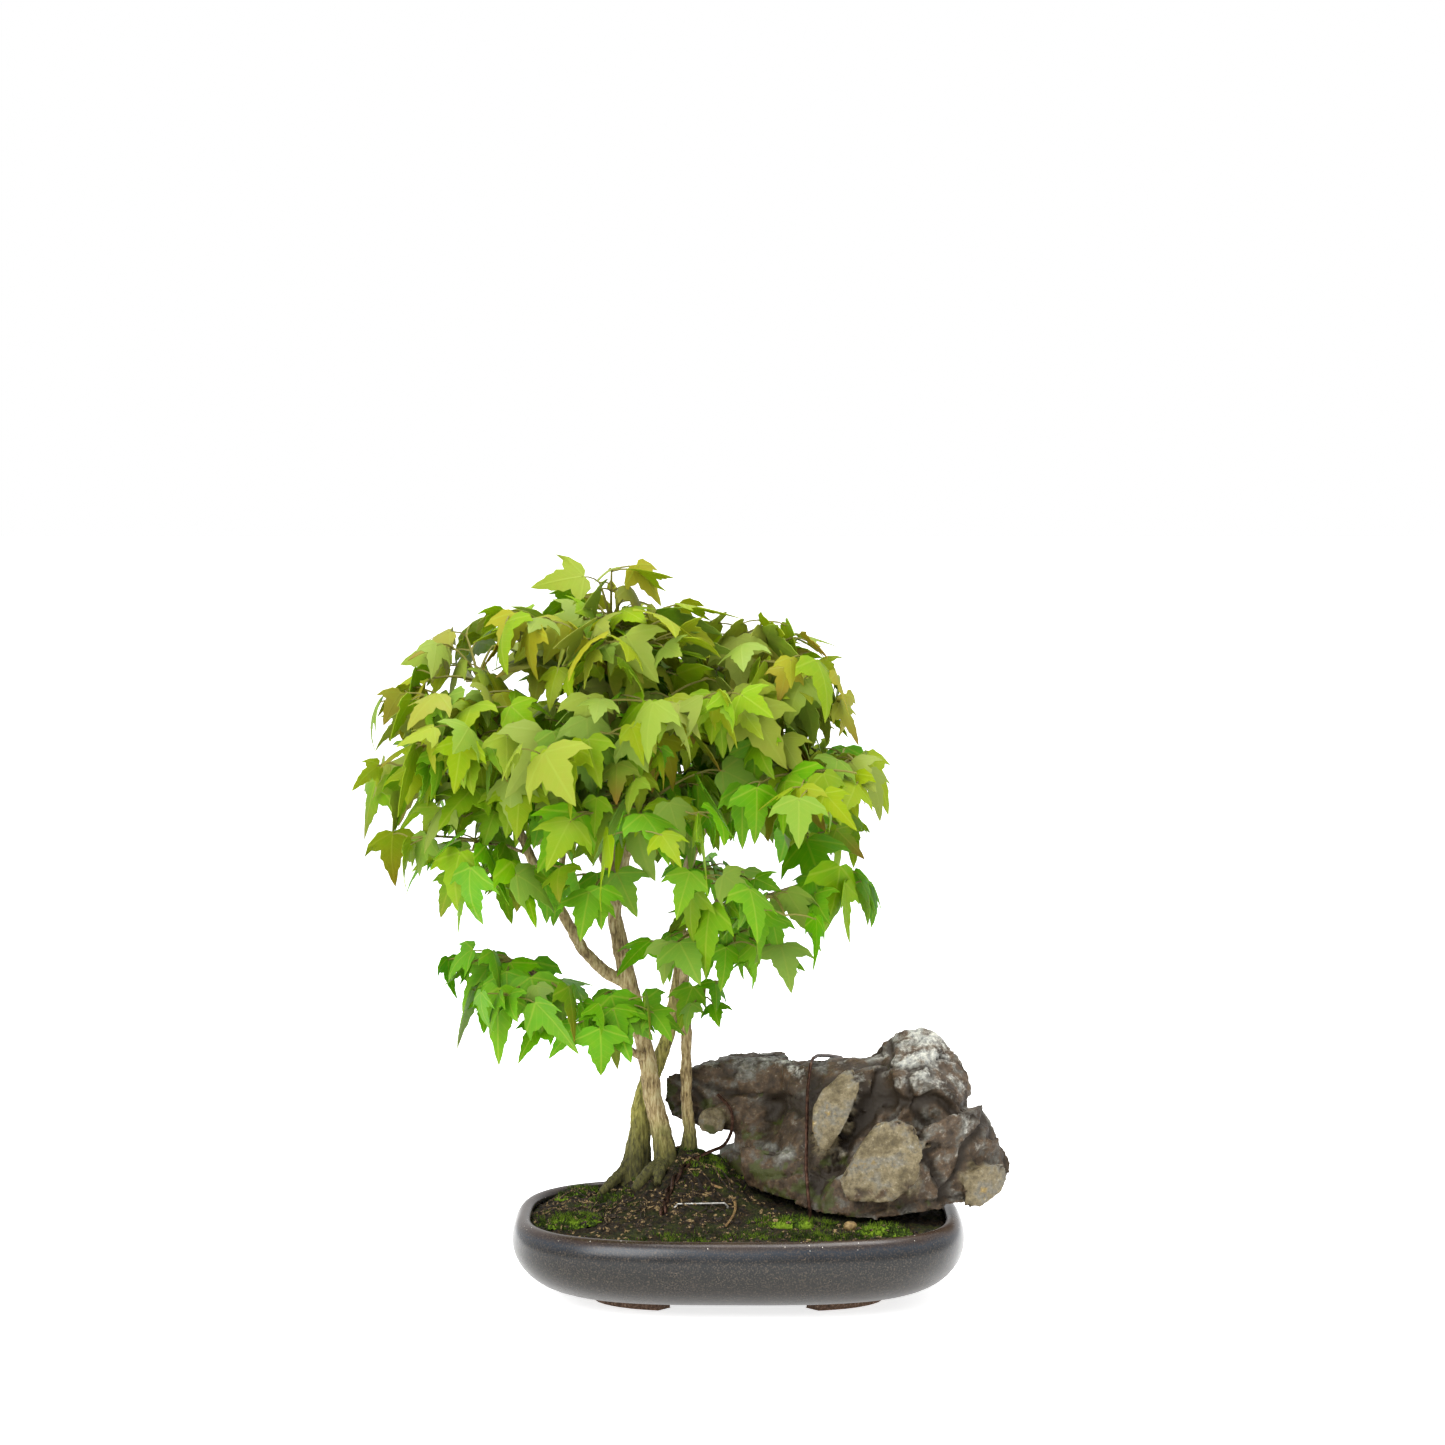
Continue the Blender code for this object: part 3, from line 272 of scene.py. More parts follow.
# Dark stoneware glaze, dipped: satin, with a paler blue-grey band on the shoulder that is a
# painted sheen, brown-purple where it thins at the rim, specked with iron and a few white grains.
glaze, tree, shader, place = new_material("dark_stoneware_glaze")
split = put(tree, "ShaderNodeSeparateXYZ", links={0: place})
waver = put(tree, "ShaderNodeTexNoise", {"Scale": 1 / (26 * MM), "Detail": 4.0}, {"Vector": place})
level = put(
    tree,
    "ShaderNodeMath",
    {"operation": "MULTIPLY_ADD", 1: 5.0 * MM},
    {0: waver.outputs["Fac"], 2: split.outputs["Z"]},
)
band = put(
    tree,
    "ShaderNodeMapRange",
    {"From Min": 2.5 * MM, "From Max": (RIM_TOP + 2.5) * MM},
    {"Value": level.outputs[0]},
)
# Colour up the wall: the blue-grey step near the top is a painted sheen along the shoulder.
thick = put(
    tree,
    "ShaderNodeValToRGB",
    {
        "ramp": [
            (0.0, "#1a130c"),
            (0.2, "#17120b"),
            (0.55, "#0d0c08"),
            (0.8, "#0e1012"),
            (0.9, "#22272e"),
            (0.955, "#241a17"),
            (1.0, "#2f2118"),
        ]
    },
    {"Fac": band.outputs[0]},
)
iron = put(
    tree,
    "ShaderNodeTexNoise",
    {"Scale": 1 / (1.1 * MM), "Detail": 3.0, "Roughness": 0.7},
    {"Vector": place},
)
iron_ramp = put(
    tree,
    "ShaderNodeValToRGB",
    {"ramp": [(0.5, "#000000"), (0.8, "#ffffff")]},
    {"Fac": iron.outputs["Fac"]},
)
speck = put(
    tree,
    "ShaderNodeMix",
    {"data_type": "RGBA", 7: linear("#54493d")},
    {0: iron_ramp.outputs["Color"], 6: thick.outputs["Color"]},
)
grains = put(tree, "ShaderNodeTexVoronoi", {"Scale": 1 / (4.0 * MM)}, {"Vector": place})
grain_tint = put(tree, "ShaderNodeSeparateColor", links={0: grains.outputs["Color"]})
near = put(tree, "ShaderNodeMath", {"operation": "LESS_THAN", 1: 0.09}, {0: grains.outputs["Distance"]})
rare = put(tree, "ShaderNodeMath", {"operation": "GREATER_THAN", 1: 0.55}, {0: grain_tint.outputs[0]})
high = put(
    tree,
    "ShaderNodeMath",
    {"operation": "GREATER_THAN", 1: (RIM_TOP - 5.0) * MM},
    {0: split.outputs["Z"]},
)
both = put(tree, "ShaderNodeMath", {"operation": "MULTIPLY"}, {0: near.outputs[0], 1: rare.outputs[0]})
chips = put(tree, "ShaderNodeMath", {"operation": "MULTIPLY"}, {0: both.outputs[0], 1: high.outputs[0]})
coat = put(
    tree,
    "ShaderNodeMix",
    {"data_type": "RGBA", 7: linear("#c9c3b8")},
    {0: chips.outputs[0], 6: speck.outputs[2]},
)
tree.links.new(coat.outputs[2], shader.inputs["Base Color"])
gloss = put(
    tree,
    "ShaderNodeMapRange",
    {"To Min": 0.2, "To Max": 0.36},
    {"Value": waver.outputs["Fac"]},
)
tree.links.new(gloss.outputs[0], shader.inputs["Roughness"])
peel = put(tree, "ShaderNodeTexNoise", {"Scale": 1 / (2.4 * MM), "Detail": 3.0}, {"Vector": place})
bump = put(
    tree,
    "ShaderNodeBump",
    {"Strength": 0.22, "Distance": 0.3 * MM},
    {"Height": peel.outputs["Fac"]},
)
tree.links.new(bump.outputs[0], shader.inputs["Normal"])
shader.inputs["Specular IOR Level"].default_value = 0.32
finish(tray, "glazed_tray", "tray_glaze", "pot", materials=[glaze], smooth=50)

# Four bracket feet follow the corners of the underside.
FOOT_INSET = 50.0
FOOT_MIDDLE = 76.0
FOOT_HALF = 22.0
FOOT_WIDTH = 13.0
feet = []
for side in (-1, 1):
    for front in (-1, 1):
        bpy.ops.mesh.primitive_grid_add(
            x_subdivisions=10, y_subdivisions=3, size=2.0, location=spot(0, 0, UNDERSIDE + 2.0)
        )
        foot = bpy.context.object
        half_length, half_width = TRAY_LENGTH / 2 - FOOT_INSET, TRAY_WIDTH / 2 - FOOT_INSET
        for vert in foot.data.vertices:
            x = FOOT_MIDDLE + FOOT_HALF * vert.co.x
            y = half_width * (1 - (x / half_length) ** SQUARENESS) ** (1 / SQUARENESS)
            outline = Vector((x, y, 0.0))
            place_on_foot = outline * (1 - FOOT_WIDTH * (1 - vert.co.y) / 2 / outline.length)
            vert.co = Vector((side * place_on_foot.x, front * place_on_foot.y, 0.0)) * MM
        bpy.ops.object.mode_set(mode="EDIT")
        bpy.ops.mesh.select_all(action="SELECT")
        for drop in (2.0, 4.5, 2.6, 0.4):
            bpy.ops.mesh.extrude_region_move(TRANSFORM_OT_translate={"value": (0.0, 0.0, -drop * MM)})
            shrink = 0.985 if drop < 1.0 else 0.995
            bpy.ops.transform.resize(value=(shrink, shrink, 1.0), center_override=MIDDLE)
        bpy.ops.mesh.select_all(action="SELECT")
        bpy.ops.mesh.normals_make_consistent(inside=False)
        bpy.ops.object.mode_set(mode="OBJECT")
        settle(foot)
        feet.append(foot)
activate(feet[0])
for foot in feet[1:]:
    foot.select_set(True)
bpy.ops.object.join()
for vert in feet[0].data.vertices:
    rough = noise.noise_vector(vert.co / (6.0 * MM)) * 0.35 * MM
    vert.co += Vector((rough.x, rough.y, rough.z if vert.co.z > 3 * MM else 0.0))

# Bare fired clay: iron brown, matt and gritty, with pale sand grains.
clay, tree, shader, place = new_material("bare_fired_clay")
grit = put(tree, "ShaderNodeTexNoise", {"Scale": 1 / (1.6 * MM), "Detail": 5.0}, {"Vector": place})
clay_ramp = put(
    tree,
    "ShaderNodeValToRGB",
    {"ramp": [(0.3, "#3a2a1f"), (0.52, "#5b4433"), (0.66, "#7a6250"), (0.74, "#b09a85")]},
    {"Fac": grit.outputs["Fac"]},
)
tree.links.new(clay_ramp.outputs["Color"], shader.inputs["Base Color"])
bump = put(
    tree,
    "ShaderNodeBump",
    {"Strength": 0.7, "Distance": 0.6 * MM},
    {"Height": grit.outputs["Fac"]},
)
tree.links.new(bump.outputs[0], shader.inputs["Normal"])
shader.inputs["Roughness"].default_value = 0.92
finish(feet[0], "clay_feet", "tray_glaze", "pot", materials=[clay], smooth=50)


# ------------------------------------------------------------------ drain screens
# Over each drain hole lies a square of black plastic netting, cut from a sheet, held
# down by a staple of soft aluminium wire whose legs are bent under the tray.
netting, tree, shader, place = new_material("moulded_black_polyethylene")
scuff = put(tree, "ShaderNodeTexNoise", {"Scale": 1 / (0.8 * MM), "Detail": 2.0}, {"Vector": place})
dust = put(
    tree,
    "ShaderNodeValToRGB",
    {"ramp": [(0.4, "#121212"), (0.8, "#2b2823")]},
    {"Fac": scuff.outputs["Fac"]},
)
tree.links.new(dust.outputs["Color"], shader.inputs["Base Color"])
shader.inputs["Roughness"].default_value = 0.55

drawn_wire, tree, shader, place = new_material("drawn_aluminium_wire")
haze = put(tree, "ShaderNodeTexNoise", {"Scale": 1 / (1.5 * MM), "Detail": 3.0}, {"Vector": place})
tarnish = put(
    tree,
    "ShaderNodeValToRGB",
    {"ramp": [(0.35, "#8f8d88"), (0.7, "#c4c2bd")]},
    {"Fac": haze.outputs["Fac"]},
)
tree.links.new(tarnish.outputs["Color"], shader.inputs["Base Color"])
dull = put(tree, "ShaderNodeMapRange", {"To Min": 0.22, "To Max": 0.45}, {"Value": haze.outputs["Fac"]})
tree.links.new(dull.outputs[0], shader.inputs["Roughness"])
shader.inputs["Metallic"].default_value = 1.0


def dress(node, material):
    """Gives a CAD node that keeps its shape its own finish."""
    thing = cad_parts[node]
    thing.data.materials.clear()
    thing.data.materials.append(material)


for side in ("left", "right"):
    dress(f"drain_mesh_{side}", netting)
    dress(f"mesh_clip_{side}", drawn_wire)


# ------------------------------------------------------------------ soil
# Brown granular bonsai soil, full of fine roots, pressed up into a mound where the
# trees stand and worn smooth by watering. Its surface is a crust of crumbs.
def copy_of(node, name):
    """A separate, merged copy of a CAD node's mesh."""
    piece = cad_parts[node].copy()
    piece.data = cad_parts[node].data.copy()
    piece.parent = None
    for key in [key for key in piece.keys() if key.startswith("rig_")]:
        del piece[key]
    piece.name = name
    bpy.context.scene.collection.objects.link(piece)
    activate(piece)
    bpy.ops.object.mode_set(mode="EDIT")
    bpy.ops.mesh.select_all(action="SELECT")
    bpy.ops.mesh.remove_doubles(threshold=0.01 * MM)
    bpy.ops.object.mode_set(mode="OBJECT")
    return piece


def remesh(piece, voxel):
    """Rebuilds a piece's skin from even cells of a size in millimetres."""
    activate(piece)
    skin = piece.modifiers.new("even_skin", "REMESH")
    skin.mode = "VOXEL"
    skin.voxel_size = voxel * MM
    bpy.ops.object.modifier_apply(modifier=skin.name)


def relax(piece, factor, times):
    """Rounds a piece's edges off."""
    activate(piece)
    smooth = piece.modifiers.new("relax", "SMOOTH")
    smooth.factor = factor
    smooth.iterations = times
    bpy.ops.object.modifier_apply(modifier=smooth.name)


def skin_of(thing):
    """A tree of an object's faces, to find what lies where."""
    mesh = thing.data
    corners = [vert.co for vert in mesh.vertices]
    return BVHTree.FromPolygons(corners, [tuple(face.vertices) for face in mesh.polygons])


def reshape(piece, move):
    """Moves each vertex of a piece by what move makes of its place and its normal."""
    mesh = piece.data
    places = np.empty(len(mesh.vertices) * 3)
    normals = np.empty(len(mesh.vertices) * 3)
    mesh.vertices.foreach_get("co", places)
    mesh.vertices.foreach_get("normal", normals)
    moved = places.copy()
    for k in range(0, len(places), 3):
        moved[k : k + 3] += move(Vector(places[k : k + 3]), Vector(normals[k : k + 3]))
    mesh.vertices.foreach_set("co", moved)
    mesh.update()


def mark(piece, name, values):
    """Keeps one number for each of a piece's vertices, for its material to read."""
    attribute = piece.data.attributes.new(name, "FLOAT", "POINT")
    attribute.data.foreach_set("value", values)


soil_low, soil_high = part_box("soil")
CRUMB_CELL = 1.7
MOUND = (-24.0, 20.0)
earth = copy_of("soil", "planting_soil")
remesh(earth, CRUMB_CELL)


def crumble(place, normal):
    """Lumps and crumbs on the soil's open face, and nothing elsewhere."""
    if normal.z < 0.25 or place.z < soil_low.z + 25 * MM:
        return Vector()
    lumps = noise.fractal(place / (10.0 * MM), 0.9, 2.0, 3)
    grains = noise.voronoi(place / (4.2 * MM))[0]
    crumbs = noise.turbulence(place / (3.0 * MM), 3, False)
    point = (place - MIDDLE) / MM
    mound = math.exp(-(((point.x - MOUND[0]) / 32.0) ** 2) - (((point.y - MOUND[1]) / 40.0) ** 2))
    knobs = noise.turbulence(place / (11.0 * MM), 4, True)
    up = lumps * (1.3 + 2.6 * mound) + (0.55 - grains[0]) * 1.8 + (0.5 - crumbs) * 1.6
    up += mound * (1.5 + knobs * 4.0)
    return Vector((0.0, 0.0, up * MM))


reshape(earth, crumble)

# Damp humus and clay crumbs: nearly black in the pits, red-brown to tan on the dry
# crumbs, with a thin green film of algae here and there.
humus, tree, shader, place = new_material("damp_granular_humus")
grain = put(
    tree,
    "ShaderNodeTexNoise",
    {"Scale": 1 / (2.6 * MM), "Detail": 6.0, "Roughness": 0.72},
    {"Vector": place},
)
earth_ramp = put(
    tree,
    "ShaderNodeValToRGB",
    {
        "ramp": [
            (0.4, "#0b0804"),
            (0.52, "#21180a"),
            (0.62, "#3a2c16"),
            (0.74, "#574526"),
            (0.86, "#836d46"),
        ]
    },
    {"Fac": grain.outputs["Fac"]},
)
film = put(tree, "ShaderNodeTexNoise", {"Scale": 1 / (15 * MM), "Detail": 5.0}, {"Vector": place})
film_ramp = put(
    tree,
    "ShaderNodeValToRGB",
    {"ramp": [(0.44, "#000000"), (0.6, "#ffffff")]},
    {"Fac": film.outputs["Fac"]},
)
film_part = put(
    tree,
    "ShaderNodeMath",
    {"operation": "MULTIPLY", 1: 0.6},
    {0: film_ramp.outputs["Color"]},
)
green = put(
    tree,
    "ShaderNodeValToRGB",
    {"ramp": [(0.35, "#151b05"), (0.6, "#303a0b"), (0.8, "#58651c")]},
    {"Fac": grain.outputs["Fac"]},
)
filmed = put(
    tree,
    "ShaderNodeMix",
    {"data_type": "RGBA"},
    {0: film_part.outputs[0], 6: earth_ramp.outputs["Color"], 7: green.outputs["Color"]},
)
tree.links.new(filmed.outputs[2], shader.inputs["Base Color"])
bump = put(
    tree,
    "ShaderNodeBump",
    {"Strength": 0.9, "Distance": 1.2 * MM},
    {"Height": grain.outputs["Fac"]},
)
tree.links.new(bump.outputs[0], shader.inputs["Normal"])
shader.inputs["Roughness"].default_value = 0.9
shader.inputs["Specular IOR Level"].default_value = 0.25
finish(earth, "planting_soil", "soil", "soil", materials=[humus], smooth=180)
ground = skin_of(earth)


# ------------------------------------------------------------------ stone
# A found viewing stone: dark brown mudstone with paler broken clasts set in it, cut
# by weathered joints, with grey lichen on its crests and moss in its lower cracks.
CLASTS = (
    ((61, -24, 126), (21, 16, 30), 26),
    ((93, -50, 98), (30, 15, 29), 10),
    ((163, -22, 76), (18, 14, 15), 0),
    ((-18, 33, 109), (11, 10, 11), 0),
)
JOINTS = (
    ((72, -36, 108), (0.83, 0.1, -0.55), 8.0),
    ((80, -40, 112), (0.83, 0.1, -0.55), 7.0),
    ((120, -40, 108), (0.93, -0.2, 0.3), 4.0),
    ((30, 0, 112), (0.75, 0.2, -0.63), 4.0),
    ((118, -20, 131), (0.15, 0.25, 0.95), 5.0),
    ((148, -20, 96), (0.8, 0.1, -0.6), 3.5),
    ((0, 40, 128), (0.2, 0.3, 0.93), 2.6),
    ((-30, 45, 118), (0.85, 0.2, 0.5), 2.4),
    ((96, 0, 150), (0.9, 0.1, -0.4), 3.0),
)


def clast_share(point):
    """How surely a point in millimetres lies on one of the pale clasts."""
    best = 0.0
    for middle, half, tilt in CLASTS:
        local = Matrix.Rotation(math.radians(-tilt), 3, "Y") @ (point - Vector(middle))
        reach = sum(abs(local[k] / half[k]) ** 3 for k in range(3)) ** (1 / 3)
        wobble = noise.fractal(point / 10.0, 0.7, 2.1, 4) * 0.42
        best = max(best, min(1.0, max(0.0, (1.06 + wobble - reach) / 0.22)))
    return best


ROCK_CELL = 1.7
stone = copy_of("stone", "viewing_stone")
remesh(stone, ROCK_CELL)
relax(stone, 0.5, 1)
clast_marks, crevice_shade_marks, lichen_marks, moss_marks = [], [], [], []


def weather(place, normal):
    """Carves joints, bedding and pits into the stone, and keeps what each spot is."""
    point = (place - MIDDLE) / MM
    bent = point + noise.noise_vector(point / 22.0) * 7.0
    pale = clast_share(point)
    carve = 0.0
    for middle, across, depth in JOINTS:
        away = (bent - Vector(middle)).dot(Vector(across).normalized())
        near_joint = math.exp(-((away / (1.2 + depth * 0.45)) ** 2))
        fade = math.exp(-(((point - Vector(middle)).length / 42.0) ** 4))
        carve += near_joint * fade * depth * (1 - 0.85 * pale)
    bedded = Vector((bent.x * 0.5 + bent.z * 0.25, bent.y * 0.7, bent.z * 1.2 - bent.x * 0.35))
    seeds = noise.voronoi(bedded / 30.0)
    cracks = max(0.0, 1.0 - (seeds[0][1] - seeds[0][0]) / 0.10)
    facet = noise.noise(seeds[1][0] * 7.3) * 1.6
    tilt = (bedded / 30.0 - seeds[1][0]).dot(noise.noise_vector(seeds[1][0] * 3.1)) * 4.0
    hardness = 0.15 if pale > 0.5 else 1.0
    ribs = noise.ridged_multi_fractal(bedded / 9.0, 0.7, 2.2, 6, 0.9, 2.0)
    plates = noise.fractal(bent / 3.6, 0.6, 2.3, 4)
    carve += hardness * (cracks * 1.5 + 0.9 + facet + tilt + (1.4 - ribs) * 1.0)
    carve -= plates * (0.35 + 0.45 * (1 - pale))
    throat = math.exp(-(((point.x + 2) / 20.0) ** 2) - (((point.z - 84) / 18.0) ** 2))
    carve = max(-0.6, min(8.0, carve)) * (1 - throat) - 1.2 * throat
    crest = max(0.0, normal.z) * max(0.0, 1.0 - carve / 2.0)
    peak = math.exp(-(((point.x - 122) / 34.0) ** 2) - (((point.z - 158) / 22.0) ** 2))
    ledge = math.exp(-(((point.x - 5) / 55.0) ** 2) - (((point.z - 149) / 7.0) ** 2))
    patches = noise.fractal(point / 11.0, 1.0, 2.0, 4)
    right = math.exp(-(((point.x - 150) / 26.0) ** 2) - (((point.z - 112) / 26.0) ** 2))
    crusted = peak * 1.05 + right * 0.3 + crest * 0.2 + ledge * 0.6
    lichen = crusted + patches * 0.9 - 0.45 - 0.8 * pale
    # Painted shade: the deeper the carving, the darker the colour painted there.
    shade = max(0.0, min(1.0, (carve - 1.1) / 2.5))
    damp = (104 - point.z) / 38.0 + (52 - point.x) / 80.0 + patches * 1.3 + shade * 0.6 - 0.75
    clast_marks.append(pale)
    crevice_shade_marks.append(shade)
    lichen_marks.append(max(0.0, min(1.0, lichen)))
    moss_marks.append(max(0.0, min(1.0, damp)))
    return -normal * carve * MM


reshape(stone, weather)
mark(stone, "clast", clast_marks)
mark(stone, "crevice", crevice_shade_marks)
mark(stone, "lichen", lichen_marks)
mark(stone, "damp", moss_marks)

# Weathered mudstone and limestone clasts: matt, dusty on top, with painted shade that darkens the
# cracks.
rock, tree, shader, place = new_material("weathered_mudstone")
marks = {}
for name in ("clast", "crevice", "lichen", "damp"):
    marks[name] = put(tree, "ShaderNodeAttribute", {"attribute_name": name}).outputs["Fac"]
broad = put(
    tree,
    "ShaderNodeTexNoise",
    {"Scale": 1 / (17 * MM), "Detail": 6.0, "Roughness": 0.6},
    {"Vector": place},
)
fine = put(
    tree,
    "ShaderNodeTexNoise",
    {"Scale": 1 / (2.6 * MM), "Detail": 6.0, "Roughness": 0.7},
    {"Vector": place},
)
brown = put(
    tree,
    "ShaderNodeValToRGB",
    {
        "ramp": [
            (0.3, "#251b0d"),
            (0.42, "#41321f"),
            (0.5, "#58452f"),
            (0.57, "#605b51"),
            (0.65, "#7d7d76"),
            (0.76, "#a8a18c"),
        ]
    },
    {"Fac": broad.outputs["Fac"]},
)
beige = put(
    tree,
    "ShaderNodeValToRGB",
    {
        "ramp": [
            (0.3, "#43391f"),
            (0.42, "#63583c"),
            (0.52, "#7c7155"),
            (0.6, "#6f6c60"),
            (0.68, "#8a7440"),
            (0.78, "#9a8348"),
        ]
    },
    {"Fac": broad.outputs["Fac"]},
)
body = put(
    tree,
    "ShaderNodeMix",
    {"data_type": "RGBA"},
    {0: marks["clast"], 6: brown.outputs["Color"], 7: beige.outputs["Color"]},
)
mottle = put(
    tree,
    "ShaderNodeValToRGB",
    {"ramp": [(0.32, "#55504a"), (0.48, "#c4c0ba"), (0.66, "#ffffff")]},
    {"Fac": fine.outputs["Fac"]},
)
mottled = put(
    tree,
    "ShaderNodeMix",
    {"data_type": "RGBA", "blend_type": "MULTIPLY", 0: 0.7},
    {6: body.outputs[2], 7: mottle.outputs["Color"]},
)
crust_edge = put(
    tree,
    "ShaderNodeMath",
    {"operation": "MULTIPLY_ADD", 1: 1.5},
    {0: fine.outputs["Fac"], 2: marks["lichen"]},
)
crust_share = put(
    tree,
    "ShaderNodeMapRange",
    {"From Min": 0.9, "From Max": 1.5, "To Max": 0.8},
    {"Value": crust_edge.outputs[0]},
)
crust = put(
    tree,
    "ShaderNodeValToRGB",
    {"ramp": [(0.35, "#73787a"), (0.52, "#a3a49b"), (0.7, "#cfcdc0")]},
    {"Fac": fine.outputs["Fac"]},
)
crusted = put(
    tree,
    "ShaderNodeMix",
    {"data_type": "RGBA"},
    {0: crust_share.outputs[0], 6: mottled.outputs[2], 7: crust.outputs["Color"]},
)
# Painted shade darkens the carved cracks towards a near-black brown.
shaded_cracks = put(
    tree,
    "ShaderNodeMix",
    {"data_type": "RGBA", 7: linear("#241b0e")},
    {0: marks["crevice"], 6: crusted.outputs[2]},
)
wet_edge = put(
    tree,
    "ShaderNodeMath",
    {"operation": "MULTIPLY_ADD", 1: 1.2},
    {0: fine.outputs["Fac"], 2: marks["damp"]},
)
wet_share = put(
    tree,
    "ShaderNodeMapRange",
    {"From Min": 0.95, "From Max": 1.35, "To Max": 0.85},
    {"Value": wet_edge.outputs[0]},
)
mossy = put(
    tree,
    "ShaderNodeMix",
    {"data_type": "RGBA", 7: linear("#363c0e")},
    {0: wet_share.outputs[0], 6: shaded_cracks.outputs[2]},
)
tree.links.new(mossy.outputs[2], shader.inputs["Base Color"])
bump = put(
    tree,
    "ShaderNodeBump",
    {"Strength": 0.8, "Distance": 0.9 * MM},
    {"Height": fine.outputs["Fac"]},
)
tree.links.new(bump.outputs[0], shader.inputs["Normal"])
shader.inputs["Roughness"].default_value = 0.62
shader.inputs["Specular IOR Level"].default_value = 0.35
finish(stone, "viewing_stone", "rock", "stone", materials=[rock], smooth=60)
stone_skin = skin_of(stone)


# ------------------------------------------------------------------ trunks and limbs
# Three trident maples grown together: grey-tan bark with fine upright ridges on the
# front and slim trunks, and a moss-stained rear trunk; knobbly where twigs were cut.
def bark_finish(name, base_moss):
    """Bark whose moss reaches up to a height in millimetres."""
    bark, tree, shader, place = new_material(name)
    grain_run = put(tree, "ShaderNodeMapping", {"Scale": (1.0, 1.0, 0.16)}, {"Vector": place})
    ridges = put(
        tree,
        "ShaderNodeTexNoise",
        {"Scale": 1 / (1.5 * MM), "Detail": 5.0, "Roughness": 0.65},
        {"Vector": grain_run.outputs[0]},
    )
    blotch = put(tree, "ShaderNodeTexNoise", {"Scale": 1 / (11 * MM), "Detail": 4.0}, {"Vector": place})
    tone = put(
        tree,
        "ShaderNodeMath",
        {"operation": "MULTIPLY_ADD", 1: 0.5},
        {0: blotch.outputs["Fac"], 2: ridges.outputs["Fac"]},
    )
    colour = put(
        tree,
        "ShaderNodeValToRGB",
        {"ramp": [(0.52, "#3a2c19"), (0.66, "#75623f"), (0.78, "#9a875d"), (0.92, "#b5a883")]},
        {"Fac": tone.outputs[0]},
    )
    height = put(tree, "ShaderNodeSeparateXYZ", links={0: place})
    fall = put(
        tree,
        "ShaderNodeMapRange",
        {"From Min": base_moss * MM, "From Max": 70 * MM},
        {"Value": height.outputs["Z"]},
    )
    growth = put(
        tree,
        "ShaderNodeMath",
        {"operation": "MULTIPLY_ADD", 1: 1.1},
        {0: fall.outputs[0], 2: blotch.outputs["Fac"]},
    )
    green_share = put(
        tree,
        "ShaderNodeMapRange",
        {"From Min": 0.55, "From Max": 1.15, "To Max": 0.9},
        {"Value": growth.outputs[0]},
    )
    green = put(
        tree,
        "ShaderNodeValToRGB",
        {"ramp": [(0.35, "#454416"), (0.55, "#8a8638"), (0.75, "#aea85c")]},
        {"Fac": ridges.outputs["Fac"]},
    )
    stained = put(
        tree,
        "ShaderNodeMix",
        {"data_type": "RGBA"},
        {0: green_share.outputs[0], 6: colour.outputs["Color"], 7: green.outputs["Color"]},
    )
    flare = put(
        tree,
        "ShaderNodeMapRange",
        {"From Min": 122 * MM, "From Max": 72 * MM},
        {"Value": height.outputs["Z"]},
    )
    soaked = put(
        tree,
        "ShaderNodeMath",
        {"operation": "MULTIPLY_ADD", 1: 1.2, 2: -0.35},
        {0: flare.outputs[0]},
    )
    soaked_part = put(
        tree,
        "ShaderNodeMath",
        {"operation": "MULTIPLY_ADD", 1: 0.7},
        {0: blotch.outputs["Fac"], 2: soaked.outputs[0]},
    )
    soaked_share = put(
        tree,
        "ShaderNodeMapRange",
        {"From Min": 0.25, "From Max": 0.9, "To Max": 0.88},
        {"Value": soaked_part.outputs[0]},
    )
    dark_green = put(
        tree,
        "ShaderNodeValToRGB",
        {"ramp": [(0.35, "#1a1807"), (0.6, "#3c3a12"), (0.8, "#5e5a22")]},
        {"Fac": ridges.outputs["Fac"]},
    )
    flared = put(
        tree,
        "ShaderNodeMix",
        {"data_type": "RGBA"},
        {0: soaked_share.outputs[0], 6: stained.outputs[2], 7: dark_green.outputs["Color"]},
    )
    tree.links.new(flared.outputs[2], shader.inputs["Base Color"])
    bump = put(
        tree,
        "ShaderNodeBump",
        {"Strength": 0.8, "Distance": 0.7 * MM},
        {"Height": ridges.outputs["Fac"]},
    )
    tree.links.new(bump.outputs[0], shader.inputs["Normal"])
    shader.inputs["Roughness"].default_value = 0.88
    return bark


def roughen(place, normal):
    """Ridges and knobs on the bark, finer on the thin wood higher up."""
    point = place / MM
    thick = max(0.25, min(1.0, (point.z - 420) / -260))
    ridge = noise.noise(Vector((point.x / 1.8, point.y / 1.8, point.z / 16.0)))
    knob = noise.fractal(point / 7.0, 0.9, 2.0, 3)
    return normal * (ridge * 0.5 * thick + knob * 0.75 * thick + 0.25) * MM


BARK_CELL = 0.85
trunk_skins = []
for node, name, slot, base_moss in (
    ("trunk_front", "front_maple", "bark", 118),
    ("trunk_rear", "rear_maple", "mossy_bark", 260),
    ("trunk_slim", "slim_maple", "bark", 120),
):
    trunk_skins.append(skin_of(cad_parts[node]))
    trunk = copy_of(node, name)
    remesh(trunk, BARK_CELL)
    relax(trunk, 0.5, 4)
    reshape(trunk, roughen)
    bark = bark_finish(f"{name}_bark", base_moss)
    finish(trunk, name, slot, node, materials=[bark], smooth=180)


# ------------------------------------------------------------------ moss and litter
# Cushions of moss along the tray's edges, up against the stone and on the root mound,
# with loose crumbs of clay, a pebble and fine roots lying on the open soil.
scatter = random.Random(5)
CUSHIONS = ("left_front", "left_back", "right_front", "stone_foot", "mound")
LOOSE_GRAINS = 2600
FINE_ROOTS = 150


